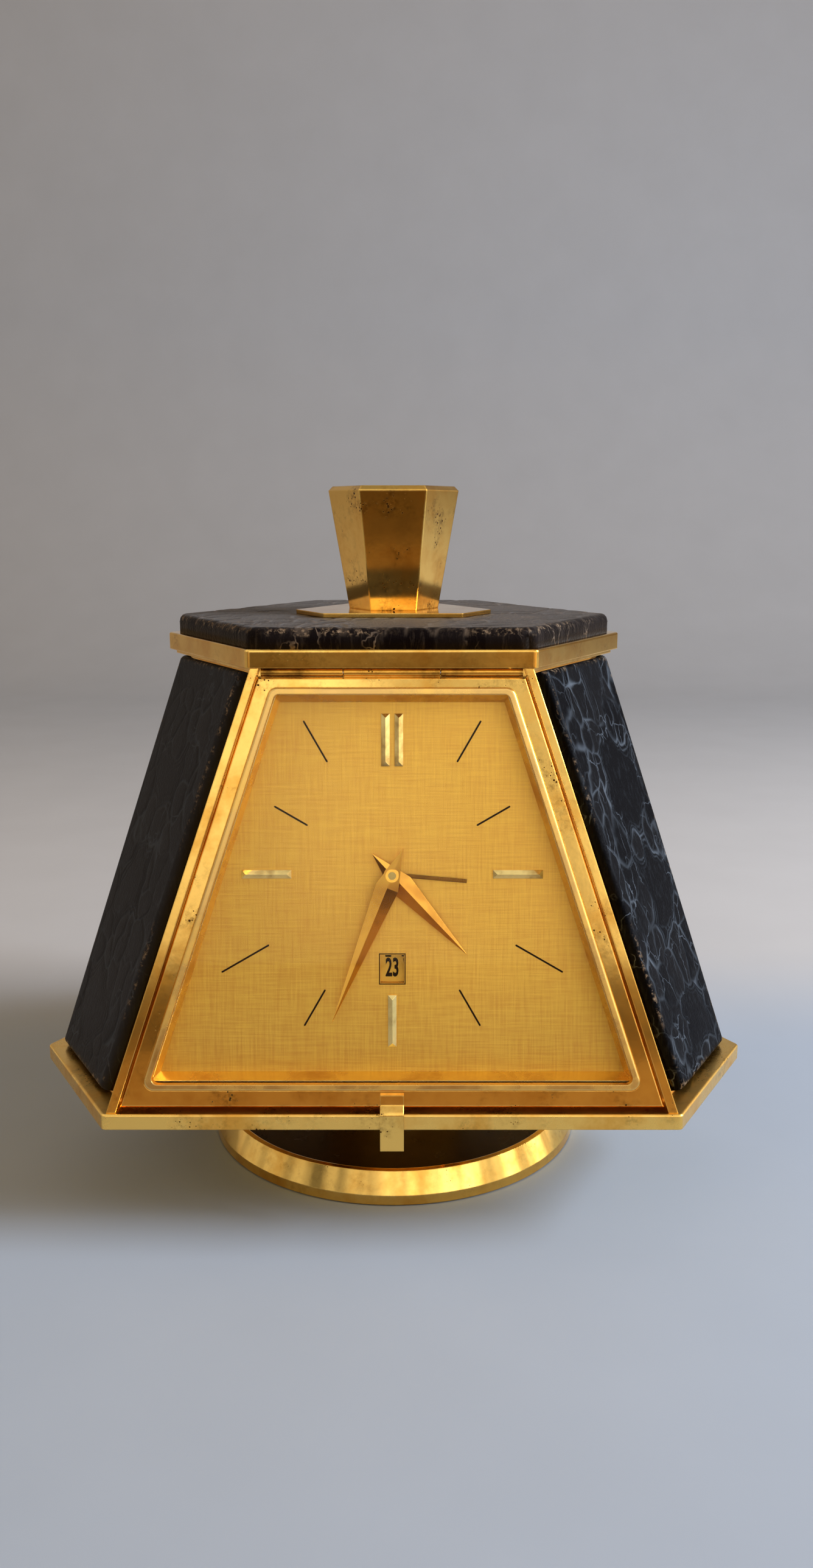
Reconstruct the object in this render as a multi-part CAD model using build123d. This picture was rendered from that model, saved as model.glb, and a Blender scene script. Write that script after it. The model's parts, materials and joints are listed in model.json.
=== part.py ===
from build123d import *
import math
import os

# Swivelling desk alarm clock: a six-sided tapering case on a round foot,
# with a glazed clock face that is hinged along its top edge.
# Millimetres. Z is up, the face looks along -Y, the swivel axis is Z.

# Fits and cuts
fit_gap = 0.02
running_gap = 0.05
part_gap = 0.3
overrun = 1.0

# Case plan, wide and narrow sides in turn
bottom_wide = 120.0
bottom_narrow = 41.5
top_wide = 59.2
top_narrow = 45.7

# Heights of the plates
bottom_plate_low = 25.4
bottom_plate_thickness = 3.3
top_plate_low = 119.4
top_plate_thickness = 3.8
plate_corner_radius = 1.2
plate_edge_radius = 0.5
top_step_thickness = 1.0
top_step_inset = 1.5

# Foot and swivel
foot_radius = 45.0
foot_top_radius = 42.8
foot_height = 7.3
foot_band_top = 2.5
foot_clear = 0.3
foot_rim_width = 1.3
foot_boss_radius = 21.0
inlay_thickness = 1.2
inlay_sink = 0.8
felt_radius = 42.0
felt_thickness = 1.0
spindle_radius = 5.0
spindle_top_reach = 8.5
hub_radius = 17.0
hub_flange_radius = 20.0
hub_flange_thickness = 3.0
washer_radius = 13.0
washer_thickness = 1.0
nut_radius = 9.0
nut_thickness = 5.0
swivel_end_gap = 0.1

# Case walls, leather and inner rods
panel_inset = 2.4
panel_thickness = 2.5
panel_edge_bevel = 0.9
panel_end_gap = 0.25
side_panel_start_low = 9.8
side_panel_start_high = 8.0
panel_foot_gap = 0.7
panel_head_gap = 0.6
shell_thickness = 1.2
rod_radius = 2.2
rod_circle_radius = 29.0
rod_angles = (30, 90, 150)
tie_head_radius = 2.6
tie_head_thickness = 1.6
tie_shank_radius = 1.2
tie_shank_length = 9.0

# Top pad and knob
pad_inset = 1.6
pad_thickness = 4.3
pad_edge_radius = 1.9
pad_corner_radius = 2.5
flange_wide = 31.0
flange_narrow = 14.0
flange_thickness = 1.0
knob_low_radius = 10.4
knob_high_radius = 15.2
knob_height = 27.8
knob_chamfer = 1.0
knob_screw_radius = 2.0
knob_screw_head_radius = 3.6
knob_screw_head_thickness = 2.2
knob_screw_bite = 13.0

# Front frame that carries the hinged face
front_inset = 0.8
frame_side_inset = 0.7
frame_level_depth = 5.6
rebate_depth = 4.5
door_side_gap = 0.4
lip_side = 0.9
lip_top = 0.5
lip_bottom = 1.3
header_front = 2.6

# Hinge
hinge_radius = 0.85
hinge_pin_radius = 0.4
hinge_top_gap = 0.15
hinge_door_gap = 0.22
hinge_leaf_thickness = 0.7
hinge_middle_length = 19.7
hinge_knuckle_gap = 0.2

# Hinged face: rails, bead, glass and inner frame
door_low = 1.2
jamb_width_low = 3.1
jamb_width_high = 2.8
door_thickness = 4.2
door_edge_chamfer = 0.35
rail_bottom = 3.5
rail_top = 2.1
rail_side = 3.1
bezel_width = 1.35
bezel_proud = 0.5
bezel_depth = 1.2
bezel_corner_radius = 2.0
bezel_edge_radius = 0.45
crystal_thickness = 1.5
crystal_gap = 0.15
dial_depth = 6.3
dial_thickness = 0.8
dial_show_bottom = 5.9
dial_show_top = 4.9
dial_show_side = 5.3
rehaut_flange = 0.9
rehaut_flange_thickness = 1.0
carrier_thickness = 1.2

# Pull tab
tab_width = 4.9
tab_thickness = 0.9
tab_top = 4.0
tab_bend = 1.7
tab_plate_gap = 0.35
tab_knee_rise = 0.5
tab_low = 21.2
tab_bend_radius = 0.8

# Dial furniture
dial_centre_height = 49.0
dial_hole_radius = 1.9
date_window_width = 5.0
date_window_height = 6.0
date_radius = 20.1
marker_height = 1.0
marker_width = 1.8
marker_wall = 0.35
twelve_gap = 1.0
marker_length = 11.0
side_marker_length = 10.5
twelve_edge_gap = 2.4
three_edge_gap = 3.6
six_edge_gap = 5.3

# Hands at rest, clockwise from twelve
minute_angle = 202.2
hour_angle = 136.9
alarm_angle = 95.0
minute_length = 33.6
hour_length = 23.2
hand_tail = 6.2
hand_width = 5.0
hand_shoulder = 2.8
hand_sheet = 0.2
hand_ridge = 0.5
alarm_length = 15.7
alarm_width = 0.8
alarm_sheet = 0.3
minute_depth = 3.65
hour_depth = 4.7
alarm_depth = 5.5
minute_boss_radius = 1.4
hour_boss_radius = 1.75
alarm_boss_radius = 2.1
boss_rise = 0.1

# Pipes and motion work
arbor_radius = 0.5
cannon_radius = 0.8
hour_pipe_radius = 1.15
alarm_pipe_radius = 1.5
arbor_sink = 0.3
motion_module = 0.4
hour_module = 0.384
cannon_teeth = 12
minute_teeth = 36
minute_pinion_teeth = 10
hour_teeth = 40
alarm_teeth = 50
alarm_pinion_teeth = 10
wheel_thickness = 0.6
pinion_margin = 0.2
layer_gap = 0.4
stud_radius = 0.7
tooth_root_share = 1.15
tooth_tip_share = 0.75
tooth_root_width_share = 0.22
tooth_tip_width_share = 0.07

# Date ring
date_ring_width = 6.0
date_ring_thickness = 0.45
date_ring_gap = 0.2
date_ledge = 1.7
date_teeth = 31
date_tooth_depth = 1.2

# Movement between its plates
movement_radius = 29.0
plate_thickness = 1.4
plate_spacing = 9.6
post_radius = 1.6
post_circle_radius = 27.0
post_angles = (20, 160, 200, 340)
pillar_radius = 1.8
pillar_circle_radius = 25.5
pillar_angles = (45, 135, 225, 315)
cover_wall = 0.8
cover_gap = 0.4
screw_head_radius = 1.4
screw_head_thickness = 0.8
screw_shank_radius = 0.6
screw_shank_length = 3.0
barrel_module = 0.35
barrel_teeth = 60
centre_pinion_teeth = 12
barrel_drum_radius = 9.6
barrel_rim_thickness = 1.2
barrel_depth = 6.5
barrel_arbor_radius = 1.3
centre_wheel_module = 0.3
centre_wheel_teeth = 64

# Keys and knobs on the back
key_stand_off = 1.2
key_stem_radius = 2.2
key_stem_length = 3.0
key_wing_length = 7.0
key_wing_height = 7.5
key_wing_thickness = 1.3
winding_key_angle = 60
alarm_key_angle = 120
set_knob_radius = 4.2
alarm_knob_radius = 3.6
knob_rim_thickness = 3.2
knob_flutes = 16
knob_flute_radius = 0.45
stop_rod_radius = 1.0
stop_rod_inner = 5.0
stop_head_radius = 2.2
stop_head_thickness = 2.0
stop_travel = 3.0
stop_drop = 14.0

# Derived heights and the tilted plane of the face
floor_low = foot_clear
bottom_plate_high = bottom_plate_low + bottom_plate_thickness
top_plate_high = top_plate_low + top_plate_thickness
step_low = top_plate_low - top_step_thickness
pad_high = top_plate_high + pad_thickness
flange_high = pad_high + flange_thickness


def front_distance(wide, narrow):
    """Distance from the axis to a wide side."""
    return (wide + 2 * narrow) / (2 * math.sqrt(3))


face_rise = top_plate_low - bottom_plate_high
face_run = front_distance(bottom_wide, bottom_narrow) - front_distance(top_wide, top_narrow)
tilt = math.atan2(face_run, face_rise)
face_y = front_inset / math.cos(tilt) - front_distance(bottom_wide, bottom_narrow)
face_plane = Plane(
    origin=(0, face_y, bottom_plate_high),
    x_dir=(1, 0, 0),
    z_dir=(0, -math.cos(tilt), math.sin(tilt)),
)
face_length = face_rise / math.cos(tilt)
frame_depth = frame_level_depth * math.cos(tilt)
hinge_depth = hinge_radius
hinge_z = top_plate_low - hinge_top_gap - hinge_radius
hinge_height = (hinge_z - bottom_plate_high + hinge_depth * math.sin(tilt)) / math.cos(tilt)
door_high = hinge_height - hinge_radius - hinge_door_gap
door_foot_half = bottom_wide / 2 - jamb_width_low
door_head_half = top_wide / 2 - jamb_width_high
door_lean = (door_foot_half - door_head_half) / face_length
side_stretch = math.sqrt(1 + door_lean**2)

# Layers behind the face, each a depth from the front plane
crystal_back = bezel_depth + crystal_thickness
carrier_front = dial_depth + dial_thickness
carrier_back = carrier_front + carrier_thickness
date_front = carrier_front + date_ring_gap
alarm_wheel_front = date_front
alarm_wheel_back = alarm_wheel_front + wheel_thickness
hour_wheel_front = alarm_wheel_back + layer_gap
hour_wheel_back = hour_wheel_front + wheel_thickness
minute_wheel_front = hour_wheel_back + layer_gap + pinion_margin
minute_wheel_back = minute_wheel_front + wheel_thickness
front_plate_front = minute_wheel_back + layer_gap + pinion_margin
front_plate_back = front_plate_front + plate_thickness
rear_plate_front = front_plate_back + plate_spacing
rear_plate_back = rear_plate_front + plate_thickness
cover_back = rear_plate_back + cover_wall
key_front = cover_back + key_stand_off

# Gear centres, measured from the dial centre
motion_distance = motion_module * (cannon_teeth + minute_teeth) / 2
alarm_distance = motion_module * (alarm_teeth + alarm_pinion_teeth) / 2
barrel_distance = barrel_module * (barrel_teeth + centre_pinion_teeth) / 2
minute_wheel_at = (-motion_distance, 0)
alarm_set_at = (0, alarm_distance)
barrel_at = (-barrel_distance, 0)
alarm_barrel_at = (barrel_distance, 0)
stop_at = (0, -stop_drop)

parts = {}


def on_face(shape):
    """Place a shape drawn in the plane of the face."""
    return face_plane.location * shape


def at_dial(shape, place=(0, 0)):
    """Place a shape drawn about a gear centre on the face."""
    return on_face(Pos(place[0], dial_centre_height + place[1], 0) * shape)


def slab(face, front, back):
    """A flat piece between two depths behind the face."""
    return Pos(0, 0, -back) * extrude(face, back - front)


def disc(radius, front, back, bore=0):
    """A round piece or tube between two depths behind the face."""
    ring = Circle(radius)
    if bore > 0:
        ring = ring - Circle(bore)
    return slab(ring, front, back)


def tube(radius, low, high, bore=0):
    """A round piece or tube standing on the swivel axis."""
    ring = Circle(radius)
    if bore > 0:
        ring = ring - Circle(bore)
    return Pos(0, 0, low) * extrude(ring, high - low)


def polar(radius, degrees):
    """A point at a radius and an angle from +X."""
    return (radius * math.cos(math.radians(degrees)), radius * math.sin(math.radians(degrees)))


def plan_points(wide, narrow):
    """Six corners of the case plan, from the front left corner."""
    near = front_distance(wide, narrow)
    far = (2 * wide + narrow) / (2 * math.sqrt(3))
    side_y = narrow * math.sqrt(3) / 2 - near
    half = (wide + narrow) / 2
    return [
        (-wide / 2, -near),
        (wide / 2, -near),
        (half, side_y),
        (narrow / 2, far),
        (-narrow / 2, far),
        (-half, side_y),
    ]


def plan_at(height, inset):
    """Corners of the tapering case at a height, drawn in by an inset."""
    share = (height - bottom_plate_high) / face_rise
    shrink = 2 * inset / math.sqrt(3)
    wide = bottom_wide + (top_wide - bottom_wide) * share - shrink
    narrow = bottom_narrow + (top_narrow - bottom_narrow) * share - shrink
    return plan_points(wide, narrow)


def outline(points):
    """A flat face through the given points."""
    return make_face(Polyline(*points, close=True))


def flat_sided(polygons):
    """A solid closed by flat polygons."""
    faces = [Face(Wire.make_polygon(polygon)) for polygon in polygons]
    return Part() + Solid(Shell(faces))


def tapered(low_points, low, high_points, high):
    """A solid with straight sides between two outlines."""
    lower = [Vector(x, y, low) for x, y in low_points]
    upper = [Vector(x, y, high) for x, y in high_points]
    polygons = [lower, upper]
    for index in range(len(lower)):
        polygons.append([lower[index - 1], lower[index], upper[index], upper[index - 1]])
    return flat_sided(polygons)


def hipped(width, length, low, rise):
    """A roof with a ridge along a rectangle and sloping ends."""
    half, end = width / 2, length / 2
    eaves = [Vector(x, y, low) for x, y in ((-half, -end), (half, -end), (half, end), (-half, end))]
    near, far = Vector(0, half - end, low + rise), Vector(0, end - half, low + rise)
    polygons = [eaves, [eaves[0], eaves[1], near], [eaves[1], eaves[2], far, near]]
    return flat_sided(polygons + [[eaves[2], eaves[3], far], [eaves[3], eaves[0], near, far]])


def spired(points, low, tip):
    """A solid with straight sides from an outline to a point."""
    lower = [Vector(x, y, low) for x, y in points]
    polygons = [lower]
    for index in range(len(lower)):
        polygons.append([lower[index - 1], lower[index], tip])
    return flat_sided(polygons)


def hexagon(radius):
    """Corners of a regular hexagon with a flat side to the front."""
    return [polar(radius, 60 * corner) for corner in range(6)]


def door_half(height):
    """Half the width of the hinged face at a height on it."""
    return door_foot_half - door_lean * height


def door_corners(below, above, beside):
    """Corners of the hinged face, drawn in by three insets."""
    low = door_low + below
    high = door_high - above
    half_low = door_half(low) - beside * side_stretch
    half_high = door_half(high) - beside * side_stretch
    return [(-half_low, low), (half_low, low), (half_high, high), (-half_high, high)]


def door_outline(below, above, beside):
    """The hinged face's outline, drawn in by three insets."""
    return outline(door_corners(below, above, beside))


def rounded(face, radius):
    """A face with its corners rounded."""
    return fillet(face.vertices(), radius)


def rail_outline(inset, radius):
    """The opening between the rails, drawn in by an inset."""
    return rounded(door_outline(rail_bottom + inset, rail_top + inset, rail_side + inset), radius)


def gear_outline(module, teeth, turn):
    """A toothed wheel with one tooth centred on the given angle."""
    pitch = module * teeth / 2
    root = pitch - tooth_root_share * module
    tip = pitch + tooth_tip_share * module
    step = 2 * math.pi / teeth
    corners = (
        (root, -tooth_root_width_share),
        (tip, -tooth_tip_width_share),
        (tip, tooth_tip_width_share),
        (root, tooth_root_width_share),
    )
    points = []
    for tooth in range(teeth):
        for radius, share in corners:
            angle = math.radians(turn) + (tooth + share) * step
            points.append((radius * math.cos(angle), radius * math.sin(angle)))
    return outline(points)


def mesh_turn(teeth, direction):
    """Angle of a tooth beside the gap that faces the wheel in that direction."""
    return direction + 180 / teeth


def front_slice(back):
    """Everything in front of a depth behind the face, for cutting."""
    reach = bottom_wide + bottom_narrow
    return on_face(slab(Rectangle(2 * reach, 4 * reach), -reach, back))


# Foot, inlay, felt and swivel spindle
def make_base():
    inlay_high = foot_height - inlay_sink
    inlay_low = inlay_high - inlay_thickness
    rim_radius = foot_top_radius - foot_rim_width
    bore = spindle_radius + fit_gap
    profile = outline([
        (bore, felt_thickness),
        (felt_radius + fit_gap, felt_thickness),
        (felt_radius + fit_gap, floor_low),
        (foot_radius, floor_low),
        (foot_radius, foot_band_top),
        (foot_top_radius, foot_height),
        (rim_radius, foot_height),
        (rim_radius, inlay_low),
        (foot_boss_radius, inlay_low),
        (foot_boss_radius, foot_height),
        (bore, foot_height),
    ])
    parts["foot"] = revolve(Plane.XZ * profile, Axis.Z)
    parts["foot_inlay"] = tube(rim_radius - fit_gap, inlay_low, inlay_high, foot_boss_radius + fit_gap)
    parts["foot_felt"] = tube(felt_radius, 0, felt_thickness)
    spindle_high = bottom_plate_high + spindle_top_reach
    parts["spindle"] = tube(spindle_radius, felt_thickness, spindle_high)
    washer_bore = spindle_radius + fit_gap
    low_washer = tube(washer_radius, foot_height, foot_height + washer_thickness, washer_bore)
    nut_washer_low = bottom_plate_high + swivel_end_gap
    nut_low = nut_washer_low + washer_thickness
    high_washer = tube(washer_radius, nut_washer_low, nut_low, washer_bore)
    parts["thrust_washers"] = Compound(children=[low_washer.solid(), high_washer.solid()])
    nut = RegularPolygon(nut_radius, 6) - Circle(washer_bore)
    parts["spindle_nut"] = Pos(0, 0, nut_low) * extrude(nut, nut_thickness)


def tie_places():
    """Plan places of the tie rods."""
    return [polar(rod_circle_radius, angle) for angle in rod_angles]


# Bottom plate, hub, top plate, tie rods and their screws
def make_plates():
    hole = spindle_radius + part_gap
    plate = tapered(
        plan_points(bottom_wide, bottom_narrow), bottom_plate_low,
        plan_points(bottom_wide, bottom_narrow), bottom_plate_high,
    )
    plate = fillet(plate.edges().filter_by(Axis.Z), plate_corner_radius)
    plate = fillet(plate.faces().sort_by(Axis.Z)[-1].edges(), plate_edge_radius)
    plate = plate - tube(hole, bottom_plate_low - overrun, bottom_plate_high + overrun)
    shank_bore = tie_shank_radius + fit_gap
    head_bore = tie_head_radius + fit_gap
    top = tapered(
        plan_points(top_wide, top_narrow), top_plate_low,
        plan_points(top_wide, top_narrow), top_plate_high,
    )
    top = fillet(top.edges().filter_by(Axis.Z), plate_corner_radius)
    top = fillet(top.faces().sort_by(Axis.Z)[-1].edges(), plate_edge_radius)
    step = tapered(
        plan_at(top_plate_low, top_step_inset), step_low,
        plan_at(top_plate_low, top_step_inset), top_plate_low,
    )
    top = top + (step - frame_block())
    top = top - tube(knob_screw_radius + fit_gap, step_low - overrun, top_plate_high + overrun)
    rods = []
    screws = []
    for x, y in tie_places():
        low_seat = bottom_plate_low + tie_head_thickness
        high_seat = top_plate_high - tie_head_thickness
        plate = plate - Pos(x, y, 0) * tube(shank_bore, bottom_plate_low, bottom_plate_high + overrun)
        plate = plate - Pos(x, y, 0) * tube(head_bore, bottom_plate_low - overrun, low_seat)
        top = top - Pos(x, y, 0) * tube(shank_bore, step_low - overrun, top_plate_high)
        top = top - Pos(x, y, 0) * tube(head_bore, high_seat, top_plate_high + overrun)
        low_end = low_seat + tie_shank_length
        high_end = high_seat - tie_shank_length
        rod = tube(rod_radius, bottom_plate_high, step_low)
        rod = rod - tube(shank_bore, bottom_plate_high, low_end + part_gap)
        rod = rod - tube(shank_bore, high_end - part_gap, step_low)
        rods.append((Pos(x, y, 0) * rod).solid())
        low_screw = tube(tie_head_radius, bottom_plate_low, low_seat) + tube(tie_shank_radius, low_seat, low_end)
        high_screw = tube(tie_head_radius, high_seat, top_plate_high)
        high_screw = high_screw + tube(tie_shank_radius, high_end, high_seat)
        screws.append((Pos(x, y, 0) * low_screw).solid())
        screws.append((Pos(x, y, 0) * high_screw).solid())
    parts["bottom_plate"] = plate
    parts["top_plate"] = top
    parts["tie_rods"] = Compound(children=rods)
    parts["tie_screws"] = Compound(children=screws)
    hub_low = foot_height + washer_thickness + swivel_end_gap
    hub = tube(hub_radius, hub_low, bottom_plate_low, spindle_radius + running_gap)
    hub = hub + tube(
        hub_flange_radius, bottom_plate_low - hub_flange_thickness, bottom_plate_low,
        spindle_radius + running_gap,
    )
    parts["swivel_hub"] = hub


# Leather pad, knob and its screw
def make_top():
    pad_wide = top_wide - 2 * pad_inset / math.sqrt(3)
    pad_narrow = top_narrow - 2 * pad_inset / math.sqrt(3)
    points = plan_points(pad_wide, pad_narrow)
    pad = tapered(points, top_plate_high, points, pad_high)
    pad = fillet(pad.edges().filter_by(Axis.Z), pad_corner_radius)
    pad = fillet(pad.faces().sort_by(Axis.Z)[-1].edges(), pad_edge_radius)
    screw_bore = knob_screw_radius + fit_gap
    parts["top_pad"] = pad - tube(screw_bore, top_plate_high - overrun, pad_high + overrun)
    points = plan_points(flange_wide, flange_narrow)
    flange = tapered(points, pad_high, points, flange_high)
    parts["knob_flange"] = flange - tube(screw_bore, pad_high - overrun, flange_high + overrun)
    knob_high = flange_high + knob_height
    knob = tapered(hexagon(knob_low_radius), flange_high, hexagon(knob_high_radius), knob_high)
    knob = chamfer(knob.faces().sort_by(Axis.Z)[-1].edges(), knob_chamfer)
    screw_high = flange_high + knob_screw_bite
    parts["knob"] = knob - tube(screw_bore, flange_high - overrun, screw_high + part_gap)
    screw = tube(knob_screw_head_radius, step_low - knob_screw_head_thickness, step_low)
    parts["knob_screw"] = screw + tube(knob_screw_radius, step_low, screw_high)


def frame_block():
    """The front frame before it is cut out, as wide as its jambs."""
    low_half = bottom_wide / 2 - frame_side_inset
    high_half = top_wide / 2 - frame_side_inset
    high_y = face_y + face_rise * math.tan(tilt)

    def ring(half, front):
        back = front + frame_level_depth
        return [(-half, front), (half, front), (half, back), (-half, back)]

    return tapered(ring(low_half, face_y), bottom_plate_high, ring(high_half, high_y), top_plate_low)


# Front frame with its rebate, stop lip and hinge header
def make_front_frame():
    frame = frame_block()
    gap = door_side_gap
    low = -overrun
    half_low = door_half(low) + gap * side_stretch
    header_low = door_high + part_gap
    half_high = door_half(header_low) + gap * side_stretch
    rebate = outline([(-half_low, low), (half_low, low), (half_high, header_low), (-half_high, header_low)])
    high = face_length + overrun
    half_top = door_half(high) + gap * side_stretch
    hinge_space = outline([(-half_low, low), (half_low, low), (half_top, high), (-half_top, high)])
    frame = frame - on_face(slab(rebate, -overrun, rebate_depth))
    frame = frame - on_face(slab(hinge_space, -overrun, header_front))
    through = door_outline(lip_bottom, lip_top, lip_side)
    parts["front_frame"] = frame - on_face(slab(through, -overrun, frame_depth + overrun))


# Brass walls behind the frame and the leather panels on them
def make_walls():
    wall_inset = panel_inset + panel_thickness
    outer = tapered(
        plan_at(bottom_plate_high, wall_inset), bottom_plate_high, plan_at(step_low, wall_inset), step_low,
    )
    inner_inset = wall_inset + shell_thickness
    low = bottom_plate_high - overrun
    high = step_low + overrun
    inner = tapered(plan_at(low, inner_inset), low, plan_at(high, inner_inset), high)
    parts["case_shell"] = outer - inner - front_slice(frame_depth)
    names = ("side_panel_right", "rear_panel_right", "back_panel", "rear_panel_left", "side_panel_left")
    panel_low = bottom_plate_high + panel_foot_gap
    panel_high = step_low - panel_head_gap

    def board(side, height):
        outside = plan_at(height, panel_inset)
        inside = plan_at(height, wall_inset)
        edge = plan_at(height, 0)
        after = (side + 1) % len(outside)
        along = (Vector(*outside[after]) - Vector(*outside[side])).normalized()
        inward = Vector(-along.Y, along.X, 0)
        gap = along * panel_end_gap
        share = (height - bottom_plate_high) / face_rise
        start = side_panel_start_low + (side_panel_start_high - side_panel_start_low) * share
        outer_start, inner_start = Vector(*outside[side]) + gap, Vector(*inside[side]) + gap
        outer_end, inner_end = Vector(*outside[after]) - gap, Vector(*inside[after]) - gap
        if side == 1:
            outer_start = Vector(*edge[side]) + along * start + inward * panel_inset
            inner_start = outer_start + inward * panel_thickness
        if after == 0:
            outer_end = Vector(*edge[after]) - along * start + inward * panel_inset
            inner_end = outer_end + inward * panel_thickness
        return [(corner.X, corner.Y) for corner in (outer_start, outer_end, inner_end, inner_start)]

    for side, name in enumerate(names, start=1):
        panel = tapered(board(side, panel_low), panel_low, board(side, panel_high), panel_high)
        middle = panel.center()
        outward = Vector(middle.X, middle.Y, 0).normalized()
        face = max(panel.faces(), key=lambda item: item.normal_at().dot(outward))
        parts[name] = chamfer(face.edges(), panel_edge_bevel)


# Hinge between the case and the face
def make_hinge():
    middle = hinge_middle_length / 2
    inner = middle + hinge_knuckle_gap
    outer = door_half(face_length)
    pin_bore = hinge_pin_radius + running_gap

    def knuckle(start, end):
        barrel = Circle(hinge_radius) - Circle(pin_bore)
        barrel = Plane.YZ * barrel
        return Pos(start, hinge_height, -hinge_depth) * extrude(barrel, end - start)

    def leaf(start, end, low, high, front, back):
        face = Pos((start + end) / 2, (low + high) / 2) * Rectangle(end - start, high - low)
        return slab(face, front, back)

    bore = Plane.YZ * Circle(pin_bore)
    bore = Pos(-outer - overrun, hinge_height, -hinge_depth) * extrude(bore, 2 * (outer + overrun))
    half_leaf = hinge_leaf_thickness / 2
    ends = []
    for start, end in ((-outer, -inner), (inner, outer)):
        back_leaf = leaf(start, end, hinge_height - half_leaf, hinge_height + half_leaf, hinge_depth, header_front)
        ends.append(on_face(knuckle(start, end) + back_leaf - bore).solid())
    parts["hinge_fixed"] = Compound(children=ends)
    down_leaf = leaf(
        -middle, middle, door_high, hinge_height, hinge_depth - half_leaf, hinge_depth + half_leaf,
    )
    parts["hinge_moving"] = on_face(knuckle(-middle, middle) + down_leaf - bore)
    pin = Plane.YZ * Circle(hinge_pin_radius)
    parts["hinge_pin"] = on_face(Pos(-outer, hinge_height, -hinge_depth) * extrude(pin, 2 * outer))


# Hinged face: frame, bead, glass, inner frame and tab
def make_door():
    frame = slab(door_outline(0, 0, 0), 0, door_thickness)
    frame = chamfer(frame.faces().sort_by(Axis.Z)[-1].edges(), door_edge_chamfer)
    frame = frame - slab(rail_outline(0, bezel_corner_radius), -overrun, door_thickness + overrun)
    parts["door_frame"] = on_face(frame)
    bezel = slab(rail_outline(fit_gap, bezel_corner_radius), -bezel_proud, bezel_depth)
    bezel = fillet(bezel.faces().sort_by(Axis.Z)[-1].edges(), bezel_edge_radius)
    inner_radius = bezel_corner_radius - bezel_width / 2
    bezel = bezel - slab(rail_outline(bezel_width, inner_radius), -bezel_proud - overrun, bezel_depth + overrun)
    parts["bezel"] = on_face(bezel)
    crystal = rail_outline(crystal_gap, bezel_corner_radius)
    parts["crystal"] = on_face(slab(crystal, bezel_depth, crystal_back))
    rehaut = slab(rail_outline(crystal_gap, bezel_corner_radius), crystal_back, dial_depth)
    flange = slab(
        rail_outline(-rehaut_flange, bezel_corner_radius), door_thickness,
        door_thickness + rehaut_flange_thickness,
    )
    shown = door_corners(dial_show_bottom, dial_show_top, dial_show_side)
    mouth = door_corners(rail_bottom + bezel_width, rail_top + bezel_width, rail_side + bezel_width)
    funnel = tapered(shown, -dial_depth, mouth, -crystal_back)
    rehaut = rehaut + flange - funnel
    dial = slab(rail_outline(crystal_gap, bezel_corner_radius), dial_depth, carrier_front)
    dial = dial - Pos(0, dial_centre_height, 0) * disc(
        dial_hole_radius, dial_depth - overrun, carrier_front + overrun,
    )
    window = Pos(0, dial_centre_height - date_radius) * Rectangle(date_window_width, date_window_height)
    dial = dial - slab(window, dial_depth - overrun, carrier_front + overrun)
    carrier = slab(rail_outline(crystal_gap, bezel_corner_radius), carrier_front, carrier_back)
    ring_outer = date_radius + date_ring_width / 2
    ledge_front = date_front + date_ring_thickness + date_ring_gap
    carrier = carrier - Pos(0, dial_centre_height, 0) * disc(
        ring_outer + date_ring_gap, carrier_front - overrun, ledge_front,
    )
    carrier = carrier - Pos(0, dial_centre_height, 0) * disc(
        ring_outer - date_ledge, ledge_front - overrun, carrier_back + overrun,
    )
    screw_inset = (rail_side + crystal_gap + dial_show_side) / 2
    corners = door_corners(screw_inset + rail_bottom - rail_side, screw_inset + rail_top - rail_side, screw_inset)
    bore = screw_shank_radius + fit_gap
    tip = carrier_back - screw_shank_length
    screws = []
    for x, y in corners:
        place = Pos(x, y, 0)
        hole = place * disc(bore, tip - part_gap, carrier_back + overrun)
        rehaut = rehaut - hole
        dial = dial - hole
        carrier = carrier - hole
        screws.append(on_face(place * movement_screw(carrier_back)).solid())
    parts["rehaut"] = on_face(rehaut)
    parts["dial"] = on_face(dial)
    parts["dial_carrier"] = on_face(carrier)
    for angle in pillar_angles:
        x, y = polar(pillar_circle_radius, angle)
        screws.append(at_dial(movement_screw(cover_back), (x, y)).solid())
    parts["movement_screws"] = Compound(children=screws)


def movement_screw(seat):
    """A cheese-head screw whose head sits behind the given depth."""
    head = disc(screw_head_radius, seat, seat + screw_head_thickness)
    return head + disc(screw_shank_radius, seat - screw_shank_length, seat)


def make_tab():
    half = tab_thickness / 2
    rail_top_point = face_plane.from_local_coords((0, tab_top, half))
    rail_low_point = face_plane.from_local_coords((0, tab_bend, half))
    drop_y = -front_distance(bottom_wide, bottom_narrow) - tab_plate_gap - half
    path = FilletPolyline(
        rail_top_point,
        rail_low_point,
        (0, drop_y, bottom_plate_high + tab_knee_rise),
        (0, drop_y, tab_low),
        radius=tab_bend_radius,
    )
    start = Plane(origin=path @ 0, x_dir=(1, 0, 0), z_dir=path % 0)
    parts["pull_tab"] = sweep(start * Rectangle(tab_width, tab_thickness), path=path)


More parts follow.
